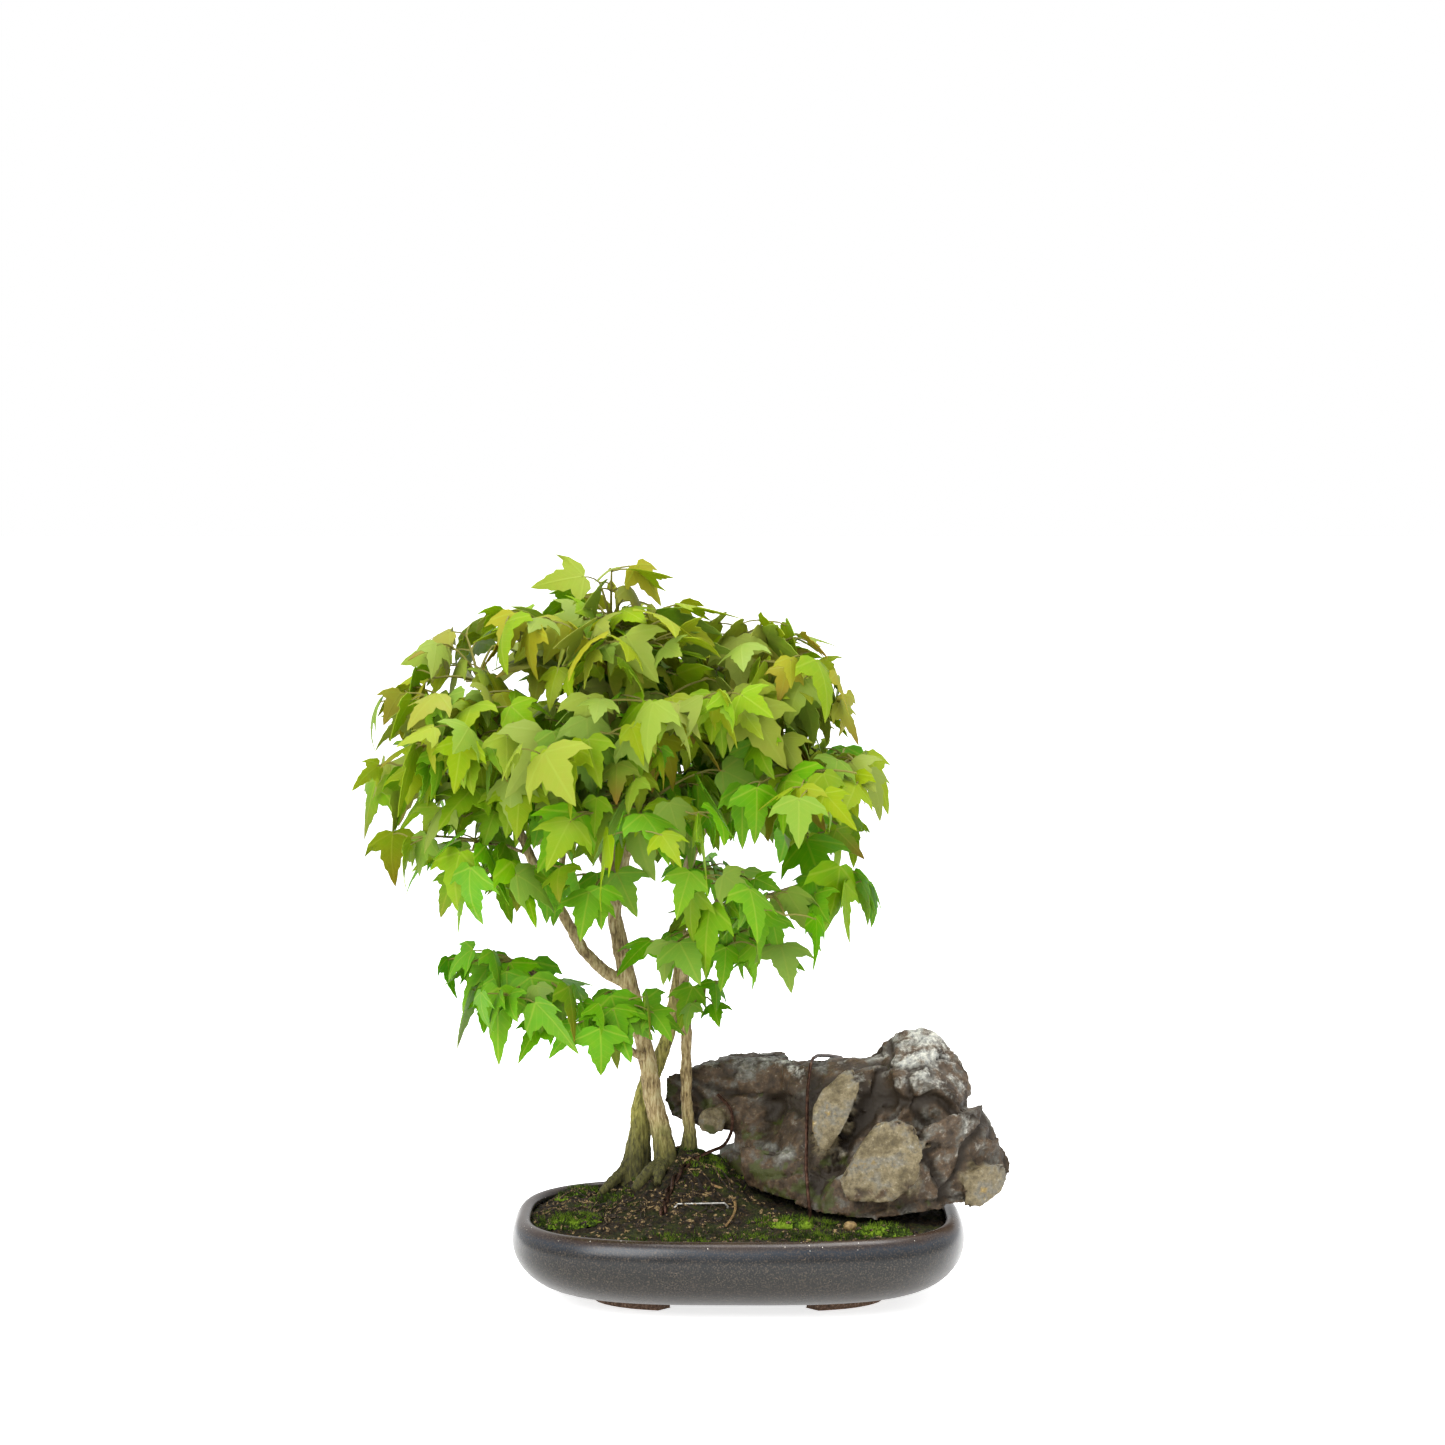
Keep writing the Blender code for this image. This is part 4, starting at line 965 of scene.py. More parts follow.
def surface_under(x, y):
    """Where soil or moss lies below a place in millimetres, and which way it faces."""
    best = (None, None)
    for skin in [ground, *cushion_skins]:
        hit, normal, _, _ = skin.ray_cast(spot(x, y, 200), Vector((0, 0, -1)))
        if hit and (best[0] is None or hit.z > best[0].z):
            best = (hit, normal)
    return best


def is_buried(place):
    """Whether a place lies under or inside the stone or a trunk."""
    for skin in [stone_skin, *trunk_skins]:
        hit, _, _, _ = skin.ray_cast(place + Vector((0, 0, 0.001)), Vector((0, 0, 1)), 0.05)
        if hit:
            return True
    return False


def object_of(bm, name):
    """Ends a bmesh and puts it in the scene as an object."""
    mesh = bpy.data.meshes.new(name)
    bm.to_mesh(mesh)
    bm.free()
    made = bpy.data.objects.new(name, mesh)
    bpy.context.scene.collection.objects.link(made)
    return made


def crumb_into(bm, place, size, material_index):
    """Adds one angular grain, partly sunk into the soil."""
    made = bmesh.ops.create_icosphere(bm, subdivisions=1, radius=size)
    roll = scatter.uniform(0, 6.3)
    axle = Vector((scatter.random(), scatter.random(), 0.5)).normalized()
    turn = Matrix.Rotation(roll, 3, axle)
    stretch = Vector((scatter.uniform(0.7, 1.3), scatter.uniform(0.7, 1.1), scatter.uniform(0.5, 0.9)))
    for vert in made["verts"]:
        jag = scatter.uniform(0.78, 1.18)
        local = turn @ vert.co * jag
        vert.co = place + Vector((local.x * stretch.x, local.y * stretch.y, local.z * stretch.z))
    for face in {face for vert in made["verts"] for face in vert.link_faces}:
        face.material_index = material_index


def tube_into(bm, points, radii, sides, material_index):
    """Adds a closed tapering tube through points."""
    rings = []
    reference = Vector((0.31, 0.87, 0.39))
    for k, point in enumerate(points):
        ahead = (points[min(k + 1, len(points) - 1)] - points[max(k - 1, 0)]).normalized()
        side = ahead.cross(reference).normalized()
        lift = ahead.cross(side)
        ring = []
        for i in range(sides):
            turn = 2 * math.pi * i / sides
            reach = (side * math.cos(turn) + lift * math.sin(turn)) * radii[k]
            ring.append(bm.verts.new(point + reach))
        rings.append(ring)
    faces = []
    for low, high in zip(rings, rings[1:]):
        for i in range(sides):
            j = (i + 1) % sides
            faces.append(bm.faces.new((low[i], low[j], high[j], high[i])))
    faces.append(bm.faces.new(rings[0][::-1]))
    faces.append(bm.faces.new(rings[-1]))
    for face in faces:
        face.material_index = material_index
        face.smooth = True
    return faces


def blade_into(bm, place, lean, height, width):
    """Adds one upright moss leaf, three-sided and pointed."""
    foot = [
        bm.verts.new(place + Vector((math.cos(turn) * width, math.sin(turn) * width, -0.6 * MM)))
        for turn in (0.3, 2.4, 4.5)
    ]
    top = bm.verts.new(place + lean * height * 0.5 + Vector((0, 0, height)))
    for k in range(3):
        bm.faces.new((foot[k], foot[(k + 1) % 3], top))
    bm.faces.new(foot[::-1])


cushion_skins = []
tufted, tree, shader, place = new_material("living_moss")
plush = put(
    tree,
    "ShaderNodeTexNoise",
    {"Scale": 1 / (1.8 * MM), "Detail": 5.0, "Roughness": 0.7},
    {"Vector": place},
)
health = put(tree, "ShaderNodeTexNoise", {"Scale": 1 / (13 * MM), "Detail": 3.0}, {"Vector": place})
mood = put(
    tree,
    "ShaderNodeMath",
    {"operation": "MULTIPLY_ADD", 1: 0.9},
    {0: health.outputs["Fac"], 2: plush.outputs["Fac"]},
)
moss_ramp = put(
    tree,
    "ShaderNodeValToRGB",
    {"ramp": [(0.66, "#111603"), (0.88, "#263406"), (1.06, "#3f560b"), (1.24, "#67801c")]},
    {"Fac": mood.outputs[0]},
)
tree.links.new(moss_ramp.outputs["Color"], shader.inputs["Base Color"])
bump = put(
    tree,
    "ShaderNodeBump",
    {"Strength": 1.0, "Distance": 0.9 * MM},
    {"Height": plush.outputs["Fac"]},
)
tree.links.new(bump.outputs[0], shader.inputs["Normal"])
shader.inputs["Roughness"].default_value = 0.95
shader.inputs["Specular IOR Level"].default_value = 0.2


def plump(place, normal):
    """Gives a moss cushion its little domes."""
    domes = 0.6 - noise.voronoi(place / (5.5 * MM))[0][0]
    nap = noise.noise(place / (1.6 * MM))
    return normal * (domes * 1.9 + nap * 0.5 + noise.noise(place / (12 * MM)) * 1.2) * MM


for name in CUSHIONS:
    cushion = copy_of(f"moss_{name}", f"moss_cushion_{name}")
    remesh(cushion, 1.0)
    relax(cushion, 0.6, 5)
    reshape(cushion, plump)
    cushion_skins.append(skin_of(cushion))
    low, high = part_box(f"moss_{name}")
    bm = bmesh.new()
    bm.from_mesh(cushion.data)
    wide, deep = (high.x - low.x) / MM, (high.y - low.y) / MM
    for _ in range(int(wide * deep * 0.55)):
        x, y = scatter.uniform(low.x, high.x), scatter.uniform(low.y, high.y)
        hit, normal, _, _ = cushion_skins[-1].ray_cast(Vector((x, y, 0.2)), Vector((0, 0, -1)))
        if hit and normal.z > 0.15 and not is_buried(hit):
            lean = Vector((scatter.uniform(-1, 1), scatter.uniform(-1, 1), 0.0))
            blade_into(bm, hit, lean, scatter.uniform(1.6, 4.2) * MM, scatter.uniform(0.28, 0.5) * MM)
    bm.to_mesh(cushion.data)
    bm.free()
    finish(cushion, f"moss_cushion_{name}", "moss", f"moss_{name}", materials=[tufted], smooth=70)

# Loose grains: fired clay, pumice and bark crumbs, most of them dark and damp.
dark_grain, tree, shader, place = new_material("damp_clay_crumb")
speckle = put(tree, "ShaderNodeTexNoise", {"Scale": 1 / (1.2 * MM), "Detail": 4.0}, {"Vector": place})
cast = put(tree, "ShaderNodeTexNoise", {"Scale": 1 / (5 * MM), "Detail": 1.0}, {"Vector": place})
shift = put(
    tree,
    "ShaderNodeMath",
    {"operation": "MULTIPLY_ADD", 1: 0.8},
    {0: cast.outputs["Fac"], 2: speckle.outputs["Fac"]},
)
crumb_ramp = put(
    tree,
    "ShaderNodeValToRGB",
    {"ramp": [(0.7, "#110b05"), (0.94, "#2c1e0e"), (1.1, "#48351c"), (1.26, "#86704a")]},
    {"Fac": shift.outputs[0]},
)
tree.links.new(crumb_ramp.outputs["Color"], shader.inputs["Base Color"])
bump = put(
    tree,
    "ShaderNodeBump",
    {"Strength": 0.7, "Distance": 0.4 * MM},
    {"Height": speckle.outputs["Fac"]},
)
tree.links.new(bump.outputs[0], shader.inputs["Normal"])
shader.inputs["Roughness"].default_value = 0.9

fibre_skin, tree, shader, place = new_material("fine_root_skin")
strand = put(tree, "ShaderNodeTexNoise", {"Scale": 1 / (4 * MM), "Detail": 3.0}, {"Vector": place})
fibre_ramp = put(
    tree,
    "ShaderNodeValToRGB",
    {"ramp": [(0.35, "#2c1d0e"), (0.55, "#513920"), (0.78, "#94713f")]},
    {"Fac": strand.outputs["Fac"]},
)
tree.links.new(fibre_ramp.outputs["Color"], shader.inputs["Base Color"])
shader.inputs["Roughness"].default_value = 0.85

soil_reach = (soil_high - soil_low) / 2
litter = bmesh.new()
for _ in range(LOOSE_GRAINS):
    x = scatter.uniform(soil_low.x, soil_high.x)
    y = scatter.uniform(soil_low.y, soil_high.y)
    hit, normal = surface_under((x - MIDDLE.x) / MM, (y - MIDDLE.y) / MM)
    if hit is None or normal.z < 0.3 or is_buried(hit):
        continue
    near_edge = math.hypot((x - MIDDLE.x) / soil_reach.x, (y - MIDDLE.y) / soil_reach.y)
    if near_edge > 0.985:
        continue
    crumb_into(litter, hit, scatter.triangular(0.7, 2.6, 1.1) * MM, 0)
# Fine roots run out of the mound and dive back into the soil.
for _ in range(FINE_ROOTS):
    out_turn = scatter.uniform(0, 2 * math.pi)
    reach = scatter.uniform(24, 62)
    length = scatter.uniform(12, 40)
    heading = out_turn + scatter.uniform(-0.9, 0.9)
    course = []
    for step in range(6):
        x = -66 + math.cos(out_turn) * reach + math.cos(heading) * length * step / 5
        y = 16 + math.sin(out_turn) * reach * 0.8 + math.sin(heading) * length * step / 5
        heading += scatter.uniform(-0.35, 0.35)
        hit, _ = surface_under(x, y)
        if hit is None or is_buried(hit) or math.hypot(x / 190, y / 118) > 1:
            break
        arch = (0.9 if 0 < step < 5 else -1.2) + scatter.uniform(-0.3, 0.4)
        course.append(hit + Vector((0, 0, arch * MM)))
    if len(course) > 3:
        course[-1].z -= 1.6 * MM
        thin = scatter.uniform(0.28, 0.62) * MM
        tube_into(litter, course, [thin] * (len(course) - 1) + [thin * 0.5], 5, 1)
crumbs = object_of(litter, "soil_litter")
finish(crumbs, "soil_litter", "soil", materials=[dark_grain, fibre_skin], smooth=30)

# Young moss comes up in loose tufts along the front edge, under the stone and on the
# root mound: a middle, how far it spreads and how many tufts, in millimetres.
PATCHES = (
    ((70, -78), (78, 11), 230),
    ((-128, -36), (24, 34), 150),
    ((-40, -84), (52, 9), 60),
    ((-18, 22), (22, 26), 120),
    ((-84, 8), (20, 26), 90),
    ((40, -48), (40, 12), 110),
    ((-104, 66), (40, 22), 90),
)
tufts = bmesh.new()
for (x, y), (wide, deep), count in PATCHES:
    for _ in range(count):
        at_x, at_y = x + scatter.gauss(0, wide / 2), y + scatter.gauss(0, deep / 2)
        hit, _ = surface_under(at_x, at_y)
        in_tray = math.hypot(at_x * MM / soil_reach.x, at_y * MM / soil_reach.y) < 0.98
        if hit is None or not in_tray or is_buried(hit):
            continue
        tall = scatter.triangular(1.2, 5.5, 2.2) * MM
        for _ in range(scatter.randint(6, 13)):
            aside = Vector((scatter.gauss(0, 1.1), scatter.gauss(0, 1.1), 0.0)) * MM
            lean = aside / MM * 0.5
            height = tall * scatter.uniform(0.6, 1.1)
            blade_into(tufts, hit + aside, lean, height, scatter.uniform(0.22, 0.42) * MM)
young_moss = object_of(tufts, "moss_tufts")
finish(young_moss, "moss_tufts", "moss", materials=[tufted], smooth=30)

# A water-worn pebble lies near the tray's rim.
pebble = copy_of("pebble", "worn_pebble")
remesh(pebble, 0.5)
relax(pebble, 0.6, 6)
pebble_skin, tree, shader, place = new_material("water_worn_pebble")
veil = put(tree, "ShaderNodeTexNoise", {"Scale": 1 / (3 * MM), "Detail": 5.0}, {"Vector": place})
pebble_ramp = put(
    tree,
    "ShaderNodeValToRGB",
    {"ramp": [(0.35, "#4a3a22"), (0.55, "#7a6238"), (0.75, "#a08a5a")]},
    {"Fac": veil.outputs["Fac"]},
)
tree.links.new(pebble_ramp.outputs["Color"], shader.inputs["Base Color"])
shader.inputs["Roughness"].default_value = 0.7
finish(pebble, "worn_pebble", "soil", "pebble", materials=[pebble_skin], smooth=180)


# ------------------------------------------------------------------ leafy shoots
# This year's growth: thin red-brown shoots that fork, with toothed three-lobed leaves
# in pairs. They hang from red stalks, tips down, and no two leaves touch.
SHOOTS = {
    "crown_top": ((-85, 26, 440), (-84, 14, 480)),
    "crown_left": ((-112, 14, 438), (-150, 2, 452)),
    "crown_front": ((-80, -8, 428), (-84, -44, 436)),
    "crown_back": ((-92, 56, 444), (-100, 92, 434)),
    "upper_left": ((-178, 0, 385), (-216, -8, 396)),
    "upper_left_front": ((-168, -30, 370), (-180, -66, 372)),
    "left_shoulder": ((-172, 16, 406), (-182, 36, 436)),
    "left_outer": ((-178, 4, 340), (-226, 4, 352)),
    "left_outer_back": ((-172, 36, 338), (-214, 74, 346)),
    "left_low": ((-166, -12, 302), (-216, -20, 306)),
    "left_front_low": ((-136, -22, 285), (-158, -64, 288)),
    "front_left": ((-112, -44, 375), (-124, -88, 366)),
    "front_high": ((-52, -40, 395), (-48, -84, 396)),
    "front_low": ((-60, -42, 330), (-68, -92, 318)),
    "front_inner": ((-86, -12, 280), (-94, -50, 276)),
    "back_high": ((-110, 100, 375), (-120, 138, 366)),
    "back_left": ((-138, 86, 342), (-178, 106, 338)),
    "back_low": ((-84, 90, 310), (-74, 130, 298)),
    "low_left": ((-143, -8, 220), (-178, -4, 222)),
    "low_front": ((-96, -26, 198), (-92, -52, 190)),
    "low_middle": ((-130, -26, 214), (-148, -54, 206)),
    "right_top": ((8, 36, 415), (18, 30, 446)),
    "right_top_back": ((-8, 66, 408), (-18, 104, 412)),
    "right_top_front": ((-10, 4, 392), (-8, -38, 402)),
    "right_upper": ((38, 8, 408), (60, -6, 414)),
    "right_outer": ((66, 16, 350), (84, 6, 344)),
    "right_front": ((40, -14, 348), (46, -60, 342)),
    "right_back": ((14, 104, 350), (34, 138, 342)),
    "right_back_low": ((30, 86, 318), (70, 94, 302)),
    "right_low": ((56, 4, 282), (76, -4, 274)),
    "right_low_front": ((22, -16, 268), (30, -58, 260)),
    "rear_inner": ((-30, 72, 274), (-22, 112, 272)),
    "slim_front": ((-8, -30, 275), (4, -66, 276)),
    "slim_low": ((-24, 30, 200), (-10, 22, 204)),
    "slim_right": ((-6, 0, 238), (18, -14, 234)),
}
# Shoots that carry only a few leaves, so that the limbs show between them.
SPARSE = ("slim_front", "slim_low", "slim_right", "front_inner", "right_low_front", "rear_inner")
# Half of a leaf's edge, from the stalk round the side lobe to the tip, and its ribs,
# as shares of the leaf's length: how far out and how far along.
LEAF_EDGE = [
    (0.13, -0.06), (0.29, -0.03), (0.35, 0.05), (0.46, 0.16), (0.54, 0.38), (0.40, 0.29),
    (0.31, 0.33), (0.21, 0.32), (0.235, 0.47), (0.18, 0.53), (0.16, 0.66), (0.11, 0.72),
    (0.07, 0.86),
]
MIDRIB = (0.16, 0.36, 0.56, 0.78)
SIDE_RIB = (0.25, 0.14)
LEAF_THICK = 0.4
STALK_RADII = (0.75, 0.65, 0.6, 0.5)
ARCH = 5.0
chance = random.Random(11)


def leaf_pattern(fold, bend, twist, spread, skew):
    """A leaf one metre long: creased along its ribs, bent down and twisted to its tip."""
    bm = bmesh.new()
    blade = bm.loops.layers.uv.new("blade")
    flat = {}

    def corner(x, y):
        sink = -fold * (math.sqrt(x * x + 0.004) - 0.063) - 0.10 * max(0.0, abs(x) - 0.3)
        turn = bend * y
        along = math.sin(turn) / bend
        drop = -(1 - math.cos(turn)) / bend
        roll = twist * y + skew * x
        lift = sink * math.cos(roll) + x * math.sin(roll) * 0.6
        side = x * spread * math.cos(roll * 0.6) * math.cos(min(1.2, fold * 0.8))
        where = Vector((side, along + lift * math.sin(turn), drop + lift * math.cos(turn)))
        vert = bm.verts.new(where)
        flat[vert] = ((x + 0.6) / 1.2, (y + 0.1) / 1.1)
        return vert

    stalk, tip = corner(0.0, 0.0), corner(0.0, 1.0)
    rib = [corner(0.0, y) for y in MIDRIB]
    for side in (1, -1):
        e = [corner(side * x, y) for x, y in LEAF_EDGE]
        lobe = corner(side * SIDE_RIB[0], SIDE_RIB[1])
        faces = [(stalk, e[0], lobe), (stalk, lobe, rib[0])]
        faces += [(lobe, e[k], e[k + 1]) for k in range(7)]
        faces += [(lobe, e[7], rib[0]), (rib[0], e[7], rib[1]), (rib[1], e[7], e[8])]
        faces += [(rib[1], e[8], rib[2]), (rib[2], e[8], e[9]), (rib[2], e[9], e[10])]
        faces += [(rib[2], e[10], rib[3]), (rib[3], e[10], e[11]), (rib[3], e[11], e[12])]
        faces.append((rib[3], e[12], tip))
        for face in faces:
            bm.faces.new(face if side > 0 else face[::-1])
    for face in bm.faces:
        face.smooth = True
        for loop in face.loops:
            loop[blade].uv = flat[loop.vert]
    mesh = bpy.data.meshes.new("leaf_pattern")
    bm.to_mesh(mesh)
    bm.free()
    return mesh


def blade_of(pattern, size, matrix):
    """The pattern at a size and place, given its thickness, as one closed body."""
    bm = bmesh.new()
    bm.from_mesh(pattern)
    bm.transform(matrix @ Matrix.Diagonal((size, size, size, 1.0)))
    bm.normal_update()
    upper = list(bm.faces)
    made = bmesh.ops.duplicate(bm, geom=list(bm.verts) + list(bm.edges) + upper)
    under = [item for item in made["geom"] if isinstance(item, bmesh.types.BMFace)]
    twin = made["vert_map"]
    tops = set(upper)
    single = [edge for edge in bm.edges if len(edge.link_faces) == 1]
    border = [edge for edge in single if edge.link_faces[0] in tops]
    for vert in {vert for face in upper for vert in face.verts}:
        twin[vert].co = vert.co - vert.normal * LEAF_THICK * MM
    bmesh.ops.reverse_faces(bm, faces=under)
    blade = bm.loops.layers.uv.active
    for edge in border:
        loop = edge.link_loops[0]
        a, b = loop.vert, loop.link_loop_next.vert
        rim = bm.faces.new((b, a, twin[a], twin[b]))
        uv_a, uv_b = loop[blade].uv.copy(), loop.link_loop_next[blade].uv.copy()
        for rim_loop, uv in zip(rim.loops, (uv_b, uv_a, uv_a, uv_b)):
            rim_loop[blade].uv = uv
        rim.smooth = True
    return bm


def arc(start, middle, end, steps):
    """Points on a smooth curve from start to end that leans towards middle."""
    return [
        start * (1 - t) ** 2 + middle * 2 * t * (1 - t) + end * t**2
        for t in [k / steps for k in range(steps + 1)]
    ]


patterns = []
for k in range(14):
    patterns.append(
        leaf_pattern(
            fold=chance.uniform(0.05, 0.6),
            bend=chance.uniform(0.15, 0.9),
            twist=chance.uniform(-0.6, 0.6),
            spread=chance.uniform(0.8, 1.12),
            skew=chance.uniform(-0.35, 0.35),
        )
    )
curled = leaf_pattern(fold=1.5, bend=0.9, twist=0.8, spread=0.62, skew=0.2)

# Leaf blades: soft and slightly waxy, letting light through. Yellow-green and bronze at
# the shoot tips and on the crown, deep green inside, with paler ribs. A pale grey-green
# tint on some leaves, most of them high on the crown, is a painted sheen.
blade_finish, tree, shader, place = new_material("maple_leaf_blade")
tone = put(tree, "ShaderNodeAttribute", {"attribute_name": "leaf_tone"})
tones = put(tree, "ShaderNodeSeparateColor", links={0: tone.outputs["Color"]})
blotch = put(tree, "ShaderNodeTexNoise", {"Scale": 1 / (7 * MM), "Detail": 4.0}, {"Vector": place})
age = put(
    tree,
    "ShaderNodeMath",
    {"operation": "MULTIPLY_ADD", 1: 0.35},
    {0: blotch.outputs["Fac"], 2: tones.outputs[0]},
)
greens = put(
    tree,
    "ShaderNodeValToRGB",
    {"ramp": [(0.1, "#5aa600"), (0.4, "#7cac00"), (0.7, "#98ae0c"), (1.0, "#aaa824")]},
    {"Fac": age.outputs[0]},
)
uv = put(tree, "ShaderNodeUVMap", {"uv_map": "blade"})
flat = put(tree, "ShaderNodeSeparateXYZ", links={0: uv.outputs["UV"]})
out = put(
    tree,
    "ShaderNodeMath",
    {"operation": "MULTIPLY_ADD", 1: 1.2, 2: -0.6},
    {0: flat.outputs["X"]},
)
out_abs = put(tree, "ShaderNodeMath", {"operation": "ABSOLUTE"}, {0: out.outputs[0]})
along = put(
    tree,
    "ShaderNodeMath",
    {"operation": "MULTIPLY_ADD", 1: 1.1, 2: -0.1},
    {0: flat.outputs["Y"]},
)
rib_side = put(tree, "ShaderNodeMath", {"operation": "MULTIPLY", 1: 0.415}, {0: out_abs.outputs[0]})
rib_away = put(
    tree,
    "ShaderNodeMath",
    {"operation": "MULTIPLY_ADD", 1: -0.91},
    {0: along.outputs[0], 2: rib_side.outputs[0]},
)
rib_near = put(tree, "ShaderNodeMath", {"operation": "ABSOLUTE"}, {0: rib_away.outputs[0]})
nearest = put(
    tree,
    "ShaderNodeMath",
    {"operation": "MINIMUM"},
    {0: out_abs.outputs[0], 1: rib_near.outputs[0]},
)
rib_line = put(
    tree,
    "ShaderNodeMapRange",
    {"From Min": 0.024, "From Max": 0.006},
    {"Value": nearest.outputs[0]},
)
slope = put(
    tree,
    "ShaderNodeMath",
    {"operation": "MULTIPLY_ADD", 1: -0.8},
    {0: out_abs.outputs[0], 2: along.outputs[0]},
)
beat = put(tree, "ShaderNodeMath", {"operation": "MULTIPLY", 1: 52.0}, {0: slope.outputs[0]})
wave = put(tree, "ShaderNodeMath", {"operation": "SINE"}, {0: beat.outputs[0]})
vein_line = put(
    tree,
    "ShaderNodeMapRange",
    {"From Min": 0.80, "From Max": 1.0, "To Max": 0.35},
    {"Value": wave.outputs[0]},
)
veins = put(
    tree,
    "ShaderNodeMath",
    {"operation": "MAXIMUM"},
    {0: rib_line.outputs[0], 1: vein_line.outputs[0]},
)
vein_share = put(tree, "ShaderNodeMath", {"operation": "MULTIPLY", 1: 0.42}, {0: veins.outputs[0]})
veined = put(
    tree,
    "ShaderNodeMix",
    {"data_type": "RGBA", 7: linear("#aec23c")},
    {0: vein_share.outputs[0], 6: greens.outputs["Color"]},
)
# Painted sheen: a pale grey-green tint laid over some leaves.
painted_sheen = put(
    tree,
    "ShaderNodeMix",
    {"data_type": "RGBA", 7: linear("#93a552")},
    {0: tones.outputs[2], 6: veined.outputs[2]},
)
tip_share = put(
    tree,
    "ShaderNodeMapRange",
    {"From Min": 0.2, "From Max": 1.0, "To Min": 0.35},
    {"Value": along.outputs[0]},
)
rust_edge = put(
    tree,
    "ShaderNodeMath",
    {"operation": "MULTIPLY"},
    {0: tip_share.outputs[0], 1: tones.outputs[1]},
)
rusted = put(
    tree,
    "ShaderNodeMix",
    {"data_type": "RGBA", 7: linear("#8c4a24")},
    {0: rust_edge.outputs[0], 6: painted_sheen.outputs[2]},
)
tree.links.new(rusted.outputs[2], shader.inputs["Base Color"])
shader.inputs["Roughness"].default_value = 0.45
shader.inputs["Specular IOR Level"].default_value = 0.16
relief = put(
    tree,
    "ShaderNodeBump",
    {"Strength": 0.5, "Distance": 0.25 * MM},
    {"Height": veins.outputs[0]},
)
tree.links.new(relief.outputs[0], shader.inputs["Normal"])
glow = put(tree, "ShaderNodeBsdfTranslucent", links={"Color": rusted.outputs[2]})
lit = put(tree, "ShaderNodeMixShader", {0: 0.5}, {1: shader.outputs[0], 2: glow.outputs[0]})
tree.links.new(lit.outputs[0], tree.nodes["Material Output"].inputs["Surface"])

# Young shoot skin: smooth, red where the sun reaches it, brown on the older wood.
stalk_finish, tree, shader, place = new_material("red_maple_stalk")
flush = put(tree, "ShaderNodeTexNoise", {"Scale": 1 / (6 * MM), "Detail": 3.0}, {"Vector": place})
reds = put(
    tree,
    "ShaderNodeValToRGB",
    {"ramp": [(0.3, "#74301a"), (0.5, "#a84a2c"), (0.68, "#b0643c"), (0.8, "#9a8a35")]},
    {"Fac": flush.outputs["Fac"]},
)
tree.links.new(reds.outputs["Color"], shader.inputs["Base Color"])
shader.inputs["Roughness"].default_value = 0.5
LEAF_FINISHES = [blade_finish, stalk_finish]

# The crown's outline as it was clipped: height, left edge and right edge in millimetres.
CROWN = [
    (124, -118, -70), (150, -176, -54), (185, -192, 4), (205, -196, 50), (235, -212, 92),
    (262, -238, 104), (300, -258, 112), (325, -254, 103), (355, -268, 96), (388, -262, 80),
    (425, -226, 66), (446, -200, 34), (466, -178, 0), (484, -150, -20), (514, -112, -56),
]


def in_crown(place):
    """How far out from the crown's middle a place is: 1 is its clipped edge."""
    x, y, height = (place - MIDDLE) / MM
    if not CROWN[0][0] < height < CROWN[-1][0]:
        return 9.0
    for (low, left, right), (high, next_left, next_right) in zip(CROWN, CROWN[1:]):
        if height <= high:
            share = (height - low) / (high - low)
            left += (next_left - left) * share
            right += (next_right - right) * share
            break
    middle_y = 26.0 if height > 260 else -6.0 + 32.0 * max(0.0, (height - 200) / 60)
    half = (right - left) / 2
    return math.hypot((x - (left + right) / 2) / half, (y - middle_y) / (half * 0.86 + 8))


taken = [(skin, None, 0.0) for skin in trunk_skins] + [(stone_skin, None, 0.0)]


def rough_leaf(matrix, size):
    """A few faces that stand for a leaf while looking for room for it."""
    shape = [
        (0, -0.02, 0.01), (0.5, 0.2, -0.14), (0.17, 0.4, -0.12),
        (0, 1.0, -0.3), (-0.17, 0.4, -0.12), (-0.5, 0.2, -0.14),
    ]
    corners = [matrix @ (Vector(corner) * size) for corner in shape]
    corners += [corner - Vector((0, 0, 1.2 * MM)) for corner in corners]
    top = [(0, 1, 2), (0, 2, 4), (2, 3, 4), (0, 4, 5)]
    return corners, top + [tuple(k + 6 for k in face) for face in top]


def has_room(matrix, size):
    corners, faces = rough_leaf(matrix, size)
    body = BVHTree.FromPolygons(corners, faces)
    middle = sum(corners, Vector()) / len(corners)
    if max(in_crown(corner) for corner in corners[:6]) > 1.0:
        return None
    for other, where, reach in taken:
        if where is not None and (where - middle).length > reach + size:
            continue
        if body.overlap(other):
            return None
    return body, middle


def leaf_frame(end, level, droop, roll):
    """A leaf's place: stalk at end, tip away along level and down by droop."""
    along = level * math.cos(droop) + Vector((0, 0, -math.sin(droop)))
    side = along.cross(Vector((0, 0, 1))).normalized()
    side = Matrix.Rotation(roll, 3, along) @ side
    normal = side.cross(along)
    matrix = Matrix((side, along, normal)).transposed().to_4x4()
    matrix.translation = end
    return matrix


